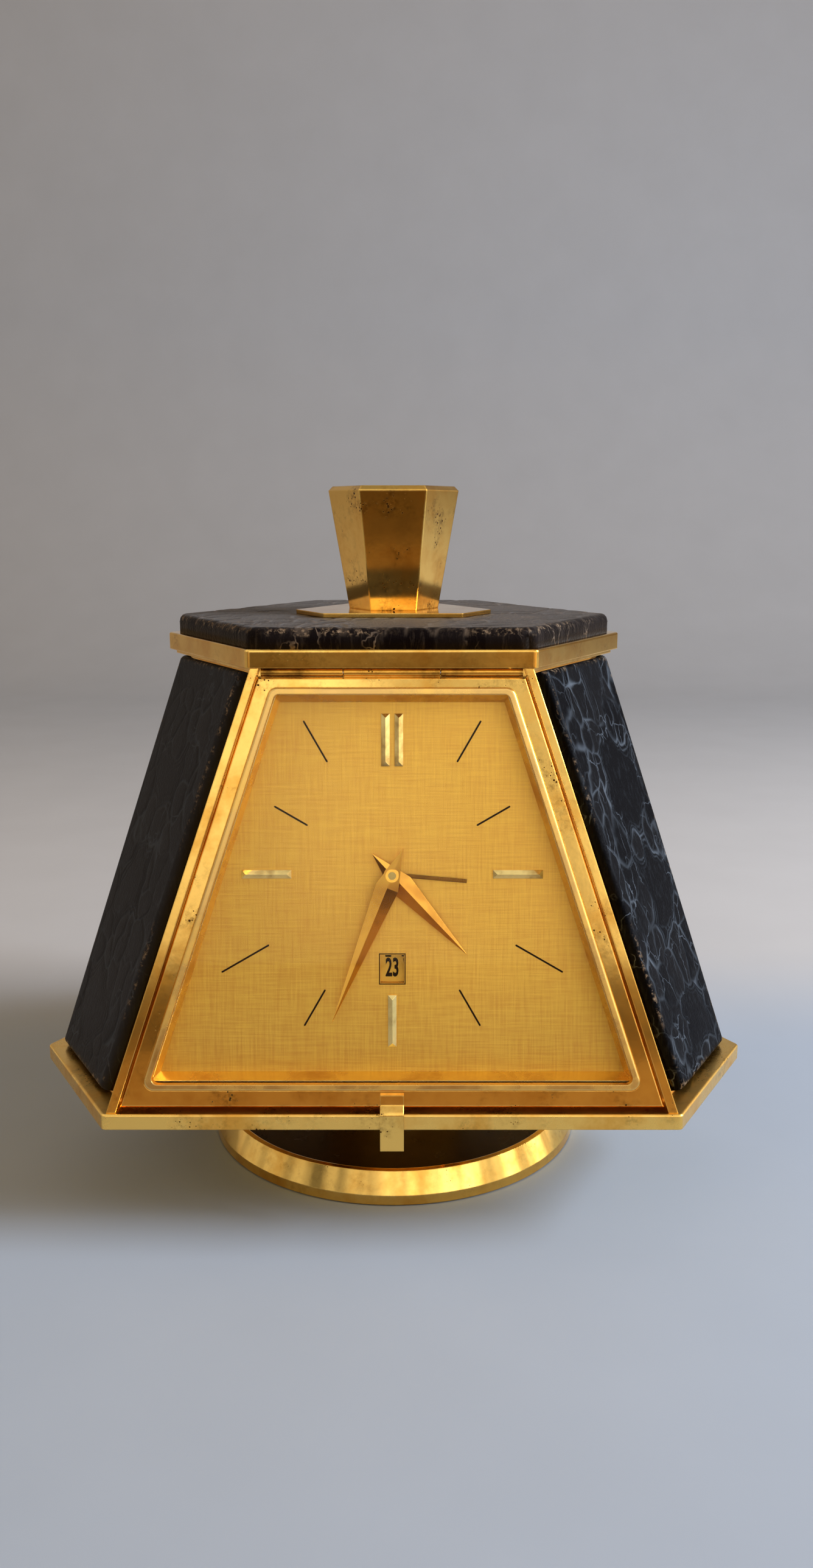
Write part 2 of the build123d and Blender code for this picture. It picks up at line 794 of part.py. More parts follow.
# Raised hour marks
def make_markers():
    dial_rise = door_high - dial_show_top - dial_centre_height
    dial_drop = dial_centre_height - door_low - dial_show_bottom
    dial_side = door_half(dial_centre_height) - dial_show_side * side_stretch

    def baton(outer, length, angle, shift):
        eaves = dial_depth - marker_wall
        bar = slab(Rectangle(marker_width, length), eaves, dial_depth)
        bar = bar + hipped(marker_width, length, -eaves, marker_height - marker_wall)
        return at_dial(Rot(0, 0, -angle) * Pos(shift, outer - length / 2) * bar).solid()

    twin = (marker_width + twelve_gap) / 2
    bars = [baton(dial_rise - twelve_edge_gap, marker_length, 0, shift) for shift in (-twin, twin)]
    bars.append(baton(dial_drop - six_edge_gap, marker_length, 180, 0))
    for angle in (90, 270):
        bars.append(baton(dial_side - three_edge_gap, side_marker_length, angle, 0))
    parts["hour_markers"] = Compound(children=bars)


def faceted_hand(length, back, boss_radius, bore):
    """A pointed hand with a ridge along its middle."""
    diamond = [(0, length), (hand_width / 2, hand_shoulder), (0, -hand_tail), (-hand_width / 2, hand_shoulder)]
    front = back - hand_sheet
    blade = slab(outline(diamond), front, back)
    ridge = spired(diamond, -front, Vector(0, hand_shoulder, hand_ridge - front))
    boss = disc(boss_radius, front - hand_ridge - boss_rise, back)
    return blade + ridge + boss - disc(bore, front - overrun - hand_ridge, back + overrun)


# Hands and their pipes, the motion work and the date ring
def make_hands():
    minute_front = minute_depth - hand_sheet - hand_ridge - boss_rise
    hour_front = hour_depth - hand_sheet - hand_ridge
    parts["minute_hand"] = at_dial(
        Rot(0, 0, -minute_angle) * faceted_hand(minute_length, minute_depth, minute_boss_radius, cannon_radius + fit_gap)
    )
    hour_hand = faceted_hand(hour_length, hour_depth, hour_boss_radius, hour_pipe_radius + fit_gap)
    hour_hand = hour_hand - disc(minute_length, 0, hour_front)
    parts["hour_hand"] = at_dial(Rot(0, 0, -hour_angle) * hour_hand)
    stick = Pos(0, alarm_length / 2) * Rectangle(alarm_width, alarm_length)
    alarm_front = alarm_depth - alarm_sheet
    alarm_hand = slab(stick, alarm_front, alarm_depth) + disc(alarm_boss_radius, alarm_front, alarm_depth)
    alarm_hand = alarm_hand - disc(alarm_pipe_radius + fit_gap, 0, alarm_depth + overrun)
    parts["alarm_hand"] = at_dial(Rot(0, 0, -alarm_angle) * alarm_hand)

    cannon_teeth_front = minute_wheel_front - pinion_margin
    cannon_back = minute_wheel_back + pinion_margin
    cannon = disc(cannon_radius, minute_front, cannon_back)
    cannon = cannon + slab(gear_outline(motion_module, cannon_teeth, 180), cannon_teeth_front, cannon_back)
    cannon = cannon - disc(arbor_radius + fit_gap, 0, cannon_back + overrun)
    parts["cannon_pinion"] = at_dial(cannon)
    hour_wheel = slab(
        gear_outline(hour_module, hour_teeth, mesh_turn(hour_teeth, 180)), hour_wheel_front, hour_wheel_back,
    )
    hour_wheel = hour_wheel + disc(hour_pipe_radius, hour_front, hour_wheel_back)
    hour_wheel = hour_wheel - disc(cannon_radius + running_gap, 0, hour_wheel_back + overrun)
    parts["hour_wheel"] = at_dial(hour_wheel)
    alarm_wheel = slab(
        gear_outline(motion_module, alarm_teeth, mesh_turn(alarm_teeth, 90)), alarm_wheel_front, alarm_wheel_back,
    )
    alarm_wheel = alarm_wheel + disc(alarm_pipe_radius, alarm_front, alarm_wheel_back)
    alarm_wheel = alarm_wheel - disc(hour_pipe_radius + running_gap, 0, alarm_wheel_back + overrun)
    parts["alarm_wheel"] = at_dial(alarm_wheel)

    pinion_front = hour_wheel_front - pinion_margin
    wheel = slab(
        gear_outline(motion_module, minute_teeth, mesh_turn(minute_teeth, 0)), minute_wheel_front, minute_wheel_back,
    )
    wheel = wheel + slab(
        gear_outline(hour_module, minute_pinion_teeth, 0), pinion_front, minute_wheel_front,
    )
    wheel = wheel - disc(stud_radius + running_gap, 0, minute_wheel_back + overrun)
    parts["minute_wheel"] = at_dial(wheel, minute_wheel_at)

    ring = Circle(date_radius + date_ring_width / 2) - Circle(date_radius - date_ring_width / 2)
    notch = Rectangle(date_tooth_depth, date_tooth_depth)
    for tooth in range(date_teeth):
        turn = 360 * tooth / date_teeth
        ring = ring - Rot(0, 0, turn) * Pos(date_radius - date_ring_width / 2, 0) * notch
    parts["date_ring"] = at_dial(slab(ring, date_front, date_front + date_ring_thickness))


# Movement plates, pillars, cover and spring barrels
def make_movement():
    front_plate = disc(movement_radius, front_plate_front, front_plate_back)
    rear_plate = disc(movement_radius, rear_plate_front, rear_plate_back)
    cover_radius = movement_radius + cover_gap + cover_wall
    cover = disc(cover_radius, front_plate_front, cover_back)
    cover = cover - disc(cover_radius - cover_wall, front_plate_front - overrun, rear_plate_back)
    stud_front = hour_wheel_front - pinion_margin
    stud = Pos(*minute_wheel_at) * disc(stud_radius, stud_front, front_plate_back)
    front_plate = front_plate + stud
    centre_bore = arbor_radius + running_gap
    arbor_bore = barrel_arbor_radius + running_gap
    holes = (
        ((0, 0), centre_bore),
        (barrel_at, arbor_bore),
        (alarm_barrel_at, arbor_bore),
        (alarm_set_at, stud_radius + running_gap),
    )
    for place, bore in holes:
        hole = Pos(*place) * disc(bore, front_plate_front - overrun, cover_back + overrun)
        front_plate = front_plate - hole
        rear_plate = rear_plate - hole
        cover = cover - hole
    stop_hole = Pos(*stop_at) * disc(stop_rod_radius + running_gap, rear_plate_front - overrun, cover_back + overrun)
    rear_plate = rear_plate - stop_hole
    cover = cover - stop_hole
    pillars = []
    screw_bore = screw_shank_radius + fit_gap
    screw_tip = cover_back - screw_shank_length - part_gap
    for angle in pillar_angles:
        place = polar(pillar_circle_radius, angle)
        hole = Pos(*place) * disc(screw_bore, screw_tip, cover_back + overrun)
        pillar = Pos(*place) * disc(pillar_radius, front_plate_back, rear_plate_front)
        pillars.append(at_dial(pillar - hole).solid())
        rear_plate = rear_plate - hole
        cover = cover - hole
    posts = []
    for angle in post_angles:
        post = Pos(*polar(post_circle_radius, angle)) * disc(post_radius, carrier_back, front_plate_front)
        posts.append(at_dial(post).solid())
    parts["front_plate"] = at_dial(front_plate)
    parts["rear_plate"] = at_dial(rear_plate)
    parts["movement_cover"] = at_dial(cover)
    parts["movement_pillars"] = Compound(children=pillars)
    parts["movement_posts"] = Compound(children=posts)

    barrel_front = front_plate_back + layer_gap
    rim_back = barrel_front + barrel_rim_thickness
    barrel = slab(gear_outline(barrel_module, barrel_teeth, mesh_turn(barrel_teeth, 0)), barrel_front, rim_back)
    barrel = barrel + disc(barrel_drum_radius, barrel_front, barrel_front + barrel_depth)
    barrel = barrel - disc(barrel_arbor_radius + running_gap, 0, cover_back)
    parts["going_barrel"] = at_dial(barrel, barrel_at)
    alarm_barrel = disc(
        barrel_drum_radius, front_plate_back, front_plate_back + barrel_depth,
        barrel_arbor_radius + running_gap,
    )
    parts["alarm_barrel"] = at_dial(alarm_barrel, alarm_barrel_at)

    pinion_back = rim_back + pinion_margin
    wheel_front = barrel_front + barrel_depth + layer_gap
    wheel_back = wheel_front + wheel_thickness
    arbor_front = minute_depth - hand_sheet - hand_ridge - boss_rise + arbor_sink
    arbor = disc(arbor_radius, arbor_front, key_front)
    arbor = arbor + slab(
        gear_outline(barrel_module, centre_pinion_teeth, 180), barrel_front - pinion_margin, pinion_back,
    )
    arbor = arbor + slab(gear_outline(centre_wheel_module, centre_wheel_teeth, 0), wheel_front, wheel_back)
    parts["centre_arbor"] = at_dial(arbor)


def fluted_knob(radius, bore, front):
    """A round knob with grip flutes round its rim."""
    face = Circle(radius)
    for flute in range(knob_flutes):
        face = face - Rot(0, 0, 360 * flute / knob_flutes) * Pos(radius, 0) * Circle(knob_flute_radius)
    return slab(face - Circle(bore), front, front + knob_rim_thickness)


def winding_key(turn):
    """A two-winged key on its barrel arbor."""
    stem_back = key_front + key_stem_length
    arbor = disc(barrel_arbor_radius, front_plate_front + pinion_margin, key_front)
    stem = disc(key_stem_radius, key_front, stem_back)
    lobe = key_wing_height / 2
    reach = key_wing_length - lobe
    wing = make_hull((
        Pos(reach, 0) * Circle(lobe).edge(),
        Pos(-reach, 0) * Circle(lobe).edge(),
    ))
    wing = Plane.XZ * Pos(0, -stem_back - lobe) * wing
    wing = extrude(wing, key_wing_thickness / 2, both=True)
    return Rot(0, 0, turn) * (arbor + stem + wing)


# Winding keys, setting knobs and the alarm stop
def make_controls():
    parts["set_knob"] = at_dial(fluted_knob(set_knob_radius, arbor_radius + fit_gap, cover_back + layer_gap))
    parts["winding_key"] = at_dial(winding_key(winding_key_angle), barrel_at)
    parts["alarm_key"] = at_dial(winding_key(alarm_key_angle), alarm_barrel_at)
    pinion_back = alarm_wheel_back + pinion_margin
    setter = disc(stud_radius, alarm_wheel_front, key_front)
    setter = setter + slab(
        gear_outline(motion_module, alarm_pinion_teeth, -90), alarm_wheel_front, pinion_back,
    )
    parts["alarm_set_arbor"] = at_dial(setter, alarm_set_at)
    knob = fluted_knob(alarm_knob_radius, stud_radius + fit_gap, cover_back + layer_gap)
    parts["alarm_set_knob"] = at_dial(knob, alarm_set_at)
    rod = disc(stop_rod_radius, rear_plate_front - stop_rod_inner, cover_back + layer_gap)
    head_front = cover_back + layer_gap
    rod = rod + disc(stop_head_radius, head_front, head_front + stop_head_thickness)
    parts["alarm_stop"] = at_dial(rod, stop_at)


make_base()
make_plates()
make_top()
make_front_frame()
make_walls()
make_hinge()
make_door()
make_tab()
make_markers()
make_hands()
make_movement()
make_controls()

os.makedirs("parts", exist_ok=True)
for name, shape in parts.items():
    export_step(shape, os.path.join("parts", name + ".step"))
print(len(parts), "pieces written")
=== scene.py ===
import json
import math
from functools import partial

import bmesh
import bpy
import numpy as np
from bpy.props import FloatProperty, FloatVectorProperty, IntProperty, PointerProperty
from mathutils import Matrix, Vector


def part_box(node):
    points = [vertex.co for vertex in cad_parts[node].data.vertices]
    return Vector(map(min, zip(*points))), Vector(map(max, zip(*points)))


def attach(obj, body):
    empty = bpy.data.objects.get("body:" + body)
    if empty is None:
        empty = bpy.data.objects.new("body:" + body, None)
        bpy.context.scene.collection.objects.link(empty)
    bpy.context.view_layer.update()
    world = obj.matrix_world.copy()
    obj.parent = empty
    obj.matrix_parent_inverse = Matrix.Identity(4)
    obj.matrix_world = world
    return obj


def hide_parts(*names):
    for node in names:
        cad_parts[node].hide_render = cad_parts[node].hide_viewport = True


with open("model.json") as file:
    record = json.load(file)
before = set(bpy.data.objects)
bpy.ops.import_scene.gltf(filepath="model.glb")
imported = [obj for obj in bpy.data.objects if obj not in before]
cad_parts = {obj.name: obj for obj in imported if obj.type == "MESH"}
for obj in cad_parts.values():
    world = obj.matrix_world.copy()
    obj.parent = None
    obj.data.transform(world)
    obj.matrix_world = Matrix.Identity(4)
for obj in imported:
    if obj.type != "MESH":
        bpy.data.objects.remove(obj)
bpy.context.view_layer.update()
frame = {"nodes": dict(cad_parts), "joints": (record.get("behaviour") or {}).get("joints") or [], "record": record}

bl_info = {
    "name": "Desk clock dresser",
    "version": (1, 0, 0),
    "blender": (4, 5, 0),
    "location": "3D View > Sidebar > Clock",
    "description": "Dresses the solids of a desk clock in gilt, leather and glass, and sets its stage",
    "category": "Object",
}

JOINTS = {joint["name"]: joint for joint in frame["joints"]}
SLOT_OF = {part["node"]: part["material_slot"] for part in frame["record"]["subparts"]}
UP = Vector((0.0, 0.0, 1.0))

# Printed hour lines: hour, then the line's inner and outer end from the dial's centre in mm
HOUR_LINES = {1: (27.2, 37.2), 2: (20.5, 28.6), 4: (30.0, 41.6), 5: (28.3, 37.2),
              7: (28.3, 37.2), 8: (30.0, 41.6), 10: (20.5, 28.6), 11: (27.2, 37.2)}
# On the dial, in metres from its centre: the spot from which painted shade darkens it, then the half
# width, the low end and the high end of the part that holds the date window
PAINTED_LIGHT_SPOT = (0.014, 0.010, 0.0)
WINDOW_PART = (0.0045, -0.025, -0.015)
# Date numerals: their ring's radius and their thickening in metres, and how narrow they are set
NUMERAL_RADIUS = 0.0201
NUMERAL_WEIGHT = 0.00015
NUMERAL_NARROWING = 0.54
DAYS = 31
SHOWN_DAY = 23
# Leather boards, how strongly the veins of each show, and where its main column of scales runs. A board
# whose veins show less is also painted lighter, a painted sheen
LEATHER_SIDES = {"side_panel_left": (0.4, 0.38), "side_panel_right": (1.0, 0.62),
                 "rear_panel_left": (0.6, 0.5), "rear_panel_right": (0.6, 0.5), "back_panel": (0.6, 0.5)}
# The first of them stand beside the face and have the finer mesh
NEAR_BOARDS = 2
# Rows of a leather grid that turn over an edge
EDGE_ROWS = 4

# The stage in metres: the sweep, then the card's near edge and the steps to its two far edges
SWEEP_HALF = 1.6
SWEEP_FRONT = -0.62
SWEEP_BACK = 0.75
SWEEP_BEND = 0.35
SWEEP_TOP = 1.7
CARD_HALF = 0.20
CARD_EDGE = (-0.20, 0.004)
CARD_STEPS = ((0.0, -0.30, 0.010), (0.0, -0.10, 0.034))
# Windows: place and width in metres, and watts. Both face one point
WINDOWS = {"window_right": ((1.00, -0.18, 0.62), 0.50, 15.5),
           "window_left": ((-0.95, -0.55, 0.75), 0.70, 0.8)}
WINDOWS_FACE = Vector((0.0, 0.0, 0.07))
# The camera: place in metres, how far it looks down in degrees, and its sensor and lens in mm
CAMERA_SPOT = (0.003, -0.3003, 0.150)
CAMERA_DIP = 12.01
CAMERA_SENSOR = 36.0
CAMERA_LENS = 29.1

# Node settings that recur
RGBA = {"data_type": "RGBA", "out": 2}
SMOOTH = {"interpolation_type": "SMOOTHSTEP"}


def linear(code):
    """An sRGB hex colour as linear red, green and blue."""
    shares = [int(code[i:i + 2], 16) / 255 for i in (1, 3, 5)]
    return tuple(s / 12.92 if s <= 0.04045 else ((s + 0.055) / 1.055) ** 2.4 for s in shares)


def per(size_mm):
    """A pattern's scale for features of this real size."""
    return 1000.0 / size_mm


def full(colour, share=1.0):
    """A colour with its alpha, as a socket takes it, made lighter or darker by a share."""
    return (*(c * share for c in colour), 1.0)


# Sizes and colours that a user would change


def length(name, description, default):
    """A size in metres."""
    return FloatProperty(name=name, description=description, default=default, min=0.0,
                         unit="LENGTH", precision=5)


def colour(name, description, code):
    """A colour, given as sRGB hex."""
    return FloatVectorProperty(name=name, description=description, default=linear(code), size=3,
                               min=0.0, max=1.0, subtype="COLOR")


class ClockSizes(bpy.types.PropertyGroup):
    """Sizes of what the solids leave to the dresser."""
    edge_round: length("Leather edge", "Radius of the leather where it turns over a board's edge", 0.0010)
    pad_round: length("Pad edge", "Radius of the leather where it turns over the top pad's edge", 0.0019)
    pad_corner: length("Pad corner", "Radius of the top pad's corners in plan", 0.0025)
    groove_depth: length("Groove depth", "Depth of the grooves between the hide's scales", 0.00022)
    oval_width: length("Oval width", "Width of the hide's large oval scales", 0.0185)
    oval_length: length("Oval length", "Length of the hide's large oval scales", 0.0205)
    small_scale: length("Small scale", "Width of the small scales between the ovals", 0.0052)
    near_step: length("Near leather step", "Mesh step on the two boards beside the face", 0.00026)
    pad_step: length("Pad leather step", "Mesh step on the top pad", 0.00036)
    far_step: length("Far leather step", "Mesh step on the boards behind", 0.00055)
    line_width: length("Hour line width", "Width of a printed hour line", 0.00038)
    print_rise: length("Print rise", "Thickness of printed ink on the dial", 0.00003)
    window_border: length("Window border", "Width of the dark border of the date window", 0.00032)
    numeral_height: length("Numeral height", "Size of the date numerals", 0.0054)
    hide_seed: IntProperty(name="Hide seed", description="Start number of the hide's pattern",
                           default=11, min=0)


class ClockColours(bpy.types.PropertyGroup):
    """Colours of the finishes and of the stage."""
    gilt: colour("Gilt", "Gold plate where it is bright", "#F8C868")
    gilt_shade: colour("Gilt shade", "Gold plate where it has clouded", "#E3A848")
    tarnish: colour("Tarnish", "Pits and specks in the gold plate", "#4A2F10")
    # The hour bars' pale gold is a painted reflection of bright light, paler than the rest of the gilt
    bars: colour("Hour bars", "Pale gold of the applied hour bars where it is bright", "#FFE093")
    bars_shade: colour("Hour bars shade", "Pale gold of the hour bars where it has clouded", "#A87A30")
    hands: colour("Hands", "Reddish gold of the hands where it is bright", "#F2B24C")
    hands_shade: colour("Hands shade", "Reddish gold of the hands where it has clouded", "#CB8634")
    movement: colour("Movement brass", "Satin brass of the movement", "#D9B870")
    steel: colour("Steel", "Turned steel", "#B9B9BC")
    dial: colour("Dial gold", "Linen-brushed dial", "#F7C558")
    dial_shade: colour("Dial shade", "Dial between its threads", "#E5A94C")
    hide: colour("Hide", "Dyed leather on the scales", "#05060B")
    vein: colour("Vein", "Leather in the grooves", "#5F6A76")
    rubbed: colour("Rubbed hide", "Leather rubbed through at the edges", "#B9A48A")
    pad: colour("Pad hide", "Dyed leather of the top pad", "#0E0809")
    scuff: colour("Scuff", "Scuffed leather in the grooves of the top pad", "#A09284")
    bead: colour("Bead", "Pale gilt bead round the glass", "#DDB268")
    ink: colour("Ink", "Printing on the dial", "#2E1C0A")
    # The window border's dark colour is part print and part painted shade at the window's edge
    window: colour("Window border", "Border of the date window", "#5A3A14")
    disc: colour("Date disc", "Date disc behind its window", "#E6B04C")
    enamel: colour("Enamel", "Browned alarm hand", "#8A5C26")
    lacquer: colour("Lacquer", "Lacquered inlay of the foot", "#3A2610")
    felt: colour("Felt", "Felt under the foot", "#2B2A27")
    glass: colour("Glass", "Light that passes the glass", "#FDFEFD")
    glass_face: colour("Glass face", "Light that the glass reflects", "#F9FCFF")
    floor: colour("Floor", "Table under the clock", "#AFC1D7")
    # Where the table runs into the backdrop it is painted lighter, a painted band of light
    haze: colour("Haze", "Where the table runs into the backdrop", "#C8CFD7")
    backdrop: colour("Backdrop", "Paper behind the clock", "#AFB8C3")
    # The card is seen only in reflections: a painted reflection of the shaded table in front of the clock
    card_near: colour("Card, near", "Card in front, near the clock", "#A88C64")
    card_far: colour("Card, far", "Card in front, farther off", "#54432A")
    room_low: colour("Room, low", "Room that the metal shows, low down", "#A68455")
    room_high: colour("Room, high", "Room that the metal shows, higher up", "#FAF6F0")
    room_fill: colour("Room light", "Light of the room on matt surfaces", "#B0916C")
    window_right: colour("Right window", "Light of the large window", "#F4F7FF")
    window_left: colour("Left window", "Light of the weak window", "#FFF0DC")


# Nodes and materials


def feed(node, sockets):
    """Sets a node's inputs to numbers and colours, or links them to other nodes."""
    for key, value in sockets.items():
        if isinstance(value, bpy.types.NodeSocket):
            node.id_data.links.new(value, node.inputs[key])
        else:
            node.inputs[key].default_value = value


def add(tree, kind, sockets=None, out=0, **settings):
    """Adds one shader node with its settings and inputs, and gives one of its outputs, or all of them."""
    node = tree.nodes.new("ShaderNode" + kind)
    for key, value in settings.items():
        setattr(node, key, value)
    feed(node, sockets or {})
    return node.outputs if out is None else node.outputs[out]


def surface(name, sockets):
    """A new material, a helper that adds nodes to it, its shader with these inputs set, and Object
    coordinates."""
    made = bpy.data.materials.new(name)
    made.use_nodes = True
    shader = made.node_tree.nodes["Principled BSDF"]
    feed(shader, sockets)
    put = partial(add, made.node_tree)
    return made, put, shader, put("TexCoord", out="Object")


def gilt_brass(name, bright, shade, pits, roughness, pitting, edge_mm=0.3):
    """Gold-plated brass, polished and then handled for years: a deep yellow mirror that clouds in soft
    patches, with brown stains, fine dark pits and a slightly uneven face that breaks its reflections."""
    made, put, shader, place = surface(name, {"Metallic": 1.0})
    cloud = put("TexNoise", {"Vector": place, "Scale": per(11), "Detail": 5.0, "Roughness": 0.62})
    patch = put("MapRange", {"Value": cloud, "From Min": 0.42, "From Max": 0.70}, **SMOOTH)
    # Pits are about 0.2 mm across and 0.9 mm apart, and gather in patches
    dots = put("TexVoronoi", {"Vector": place, "Scale": per(0.9)}, out="Distance")
    spread = put("TexNoise", {"Vector": place, "Scale": per(7), "Detail": 2.0})
    reach = put("MapRange", {"Value": spread, "From Min": 0.48, "From Max": 0.72, "To Max": pitting})
    pit = put("Math", {0: reach, 1: dots}, operation="SUBTRACT")
    pit = put("MapRange", {"Value": pit, "From Max": 0.08})
    tone = put("Mix", {0: patch, 6: full(bright), 7: full(shade)}, **RGBA)
    # Stains of about 1 mm gather where the pits do
    stain = put("TexNoise", {"Vector": place, "Scale": per(1.4), "Detail": 5.0, "Roughness": 0.7})
    stain = put("MapRange", {"Value": stain, "From Min": 0.46, "From Max": 0.66})
    stain = put("Math", {0: stain, 1: reach}, operation="MULTIPLY")
    stain = put("Math", {0: stain, 1: 1.8}, operation="MULTIPLY", use_clamp=True)
    for spoilt in (stain, pit):
        tone = put("Mix", {0: spoilt, 6: tone, 7: full(pits)}, **RGBA)
    dull = put("MapRange", {"Value": cloud, "From Min": 0.3, "From Max": 0.75,
                            "To Min": roughness * 0.75, "To Max": roughness * 1.7})
    dull = put("Math", {0: pit, 1: 0.35, 2: dull}, operation="MULTIPLY_ADD")
    # Hand polishing leaves waves a few mm long
    wave = put("TexNoise", {"Vector": place, "Scale": per(5), "Detail": 3.0})
    height = put("Math", {0: pit, 1: -0.25, 2: wave}, operation="MULTIPLY_ADD")
    # Polished edges are rounded a little and catch the light
    worn_edge = put("Bevel", {"Radius": edge_mm / 1000}, samples=4)
    bump = put("Bump", {"Height": height, "Normal": worn_edge, "Strength": 0.18, "Distance": 0.0001})
    feed(shader, {"Base Color": tone, "Roughness": dull, "Normal": bump})
    return made


def satin_brass(colours):
    """Rolled brass sheet, grained along its length and lacquered: an even, pale gold that spreads its
    highlights."""
    made, put, shader, place = surface("satin_brass", {"Metallic": 1.0})
    drawn = put("Mapping", {"Vector": place, "Scale": (per(0.25), per(9), per(9))})
    grain = put("TexNoise", {"Vector": drawn, "Scale": 1.0, "Detail": 3.0})
    tone = put("Mix", {0: grain, 6: full(colours.movement, 0.72), 7: full(colours.movement)}, **RGBA)
    dull = put("MapRange", {"Value": grain, "To Min": 0.26, "To Max": 0.44})
    bump = put("Bump", {"Height": grain, "Strength": 0.12, "Distance": 0.0001})
    feed(shader, {"Base Color": tone, "Roughness": dull, "Normal": bump})
    return made


def turned_steel(colours):
    """Free-cutting steel turned on a lathe: a grey metal with fine tool marks and a few dull stains."""
    made, put, shader, place = surface("turned_steel", {"Metallic": 1.0})
    rings = put("Mapping", {"Vector": place, "Scale": (per(6), per(6), per(0.2))})
    marks = put("TexNoise", {"Vector": rings, "Scale": 1.0, "Detail": 2.0})
    tone = put("Mix", {0: marks, 6: full(colours.steel, 0.6), 7: full(colours.steel)}, **RGBA)
    dull = put("MapRange", {"Value": marks, "To Min": 0.2, "To Max": 0.42})
    feed(shader, {"Base Color": tone, "Roughness": dull})
    return made


def linen_gilt(colours, tilt, painted_light_spot):
    """Gilt brass brushed both ways into a linen pattern: a satin gold of fine crossing threads that
    reflects softly, with painted shade that darkens it a little away from its brightest spot."""
    made, put, shader, place = surface("linen_gilt", {"Metallic": 1.0})
    flat = put("Mapping", {"Vector": place, "Rotation": (tilt, 0.0, 0.0)})
    # Threads are about 0.2 mm apart on such a dial, and are drawn at 0.32 mm so that they show
    down = put("Mapping", {"Vector": flat, "Scale": (per(0.32), per(20), per(9))})
    over = put("Mapping", {"Vector": flat, "Scale": (per(9), per(20), per(0.32))})
    warp, weft = (put("TexNoise", {"Vector": way, "Scale": 1.0, "Detail": 3.0, "Roughness": 0.7})
                  for way in (down, over))
    both = put("Mix", {0: 0.5, 2: warp, 3: weft})
    share = put("MapRange", {"Value": both, "From Min": 0.38, "From Max": 0.62})
    patch = put("TexNoise", {"Vector": place, "Scale": per(22), "Detail": 2.0})
    share = put("Math", {0: patch, 1: 0.3, 2: share}, operation="MULTIPLY_ADD")
    share = put("MapRange", {"Value": share, "From Min": 0.15, "From Max": 1.15})
    tone = put("Mix", {0: share, 6: full(colours.dial_shade), 7: full(colours.dial)}, **RGBA)
    # Painted shade: the dial is darkened a little away from its brightest spot, right of and above its centre
    away = put("VectorMath", {0: place, 1: painted_light_spot}, operation="DISTANCE", out="Value")
    browned = put("MapRange", {"Value": away, "From Min": 0.022, "From Max": 0.052,
                               "To Min": 1.0, "To Max": 0.86}, **SMOOTH)
    tone = put("VectorMath", {0: tone, 3: browned}, operation="SCALE")
    dull = put("MapRange", {"Value": both, "From Min": 0.3, "From Max": 0.7,
                            "To Min": 0.42, "To Max": 0.56})
    bump = put("Bump", {"Height": both, "Strength": 0.3, "Distance": 0.0001})
    feed(shader, {"Base Color": tone, "Roughness": dull, "Normal": bump})
    return made


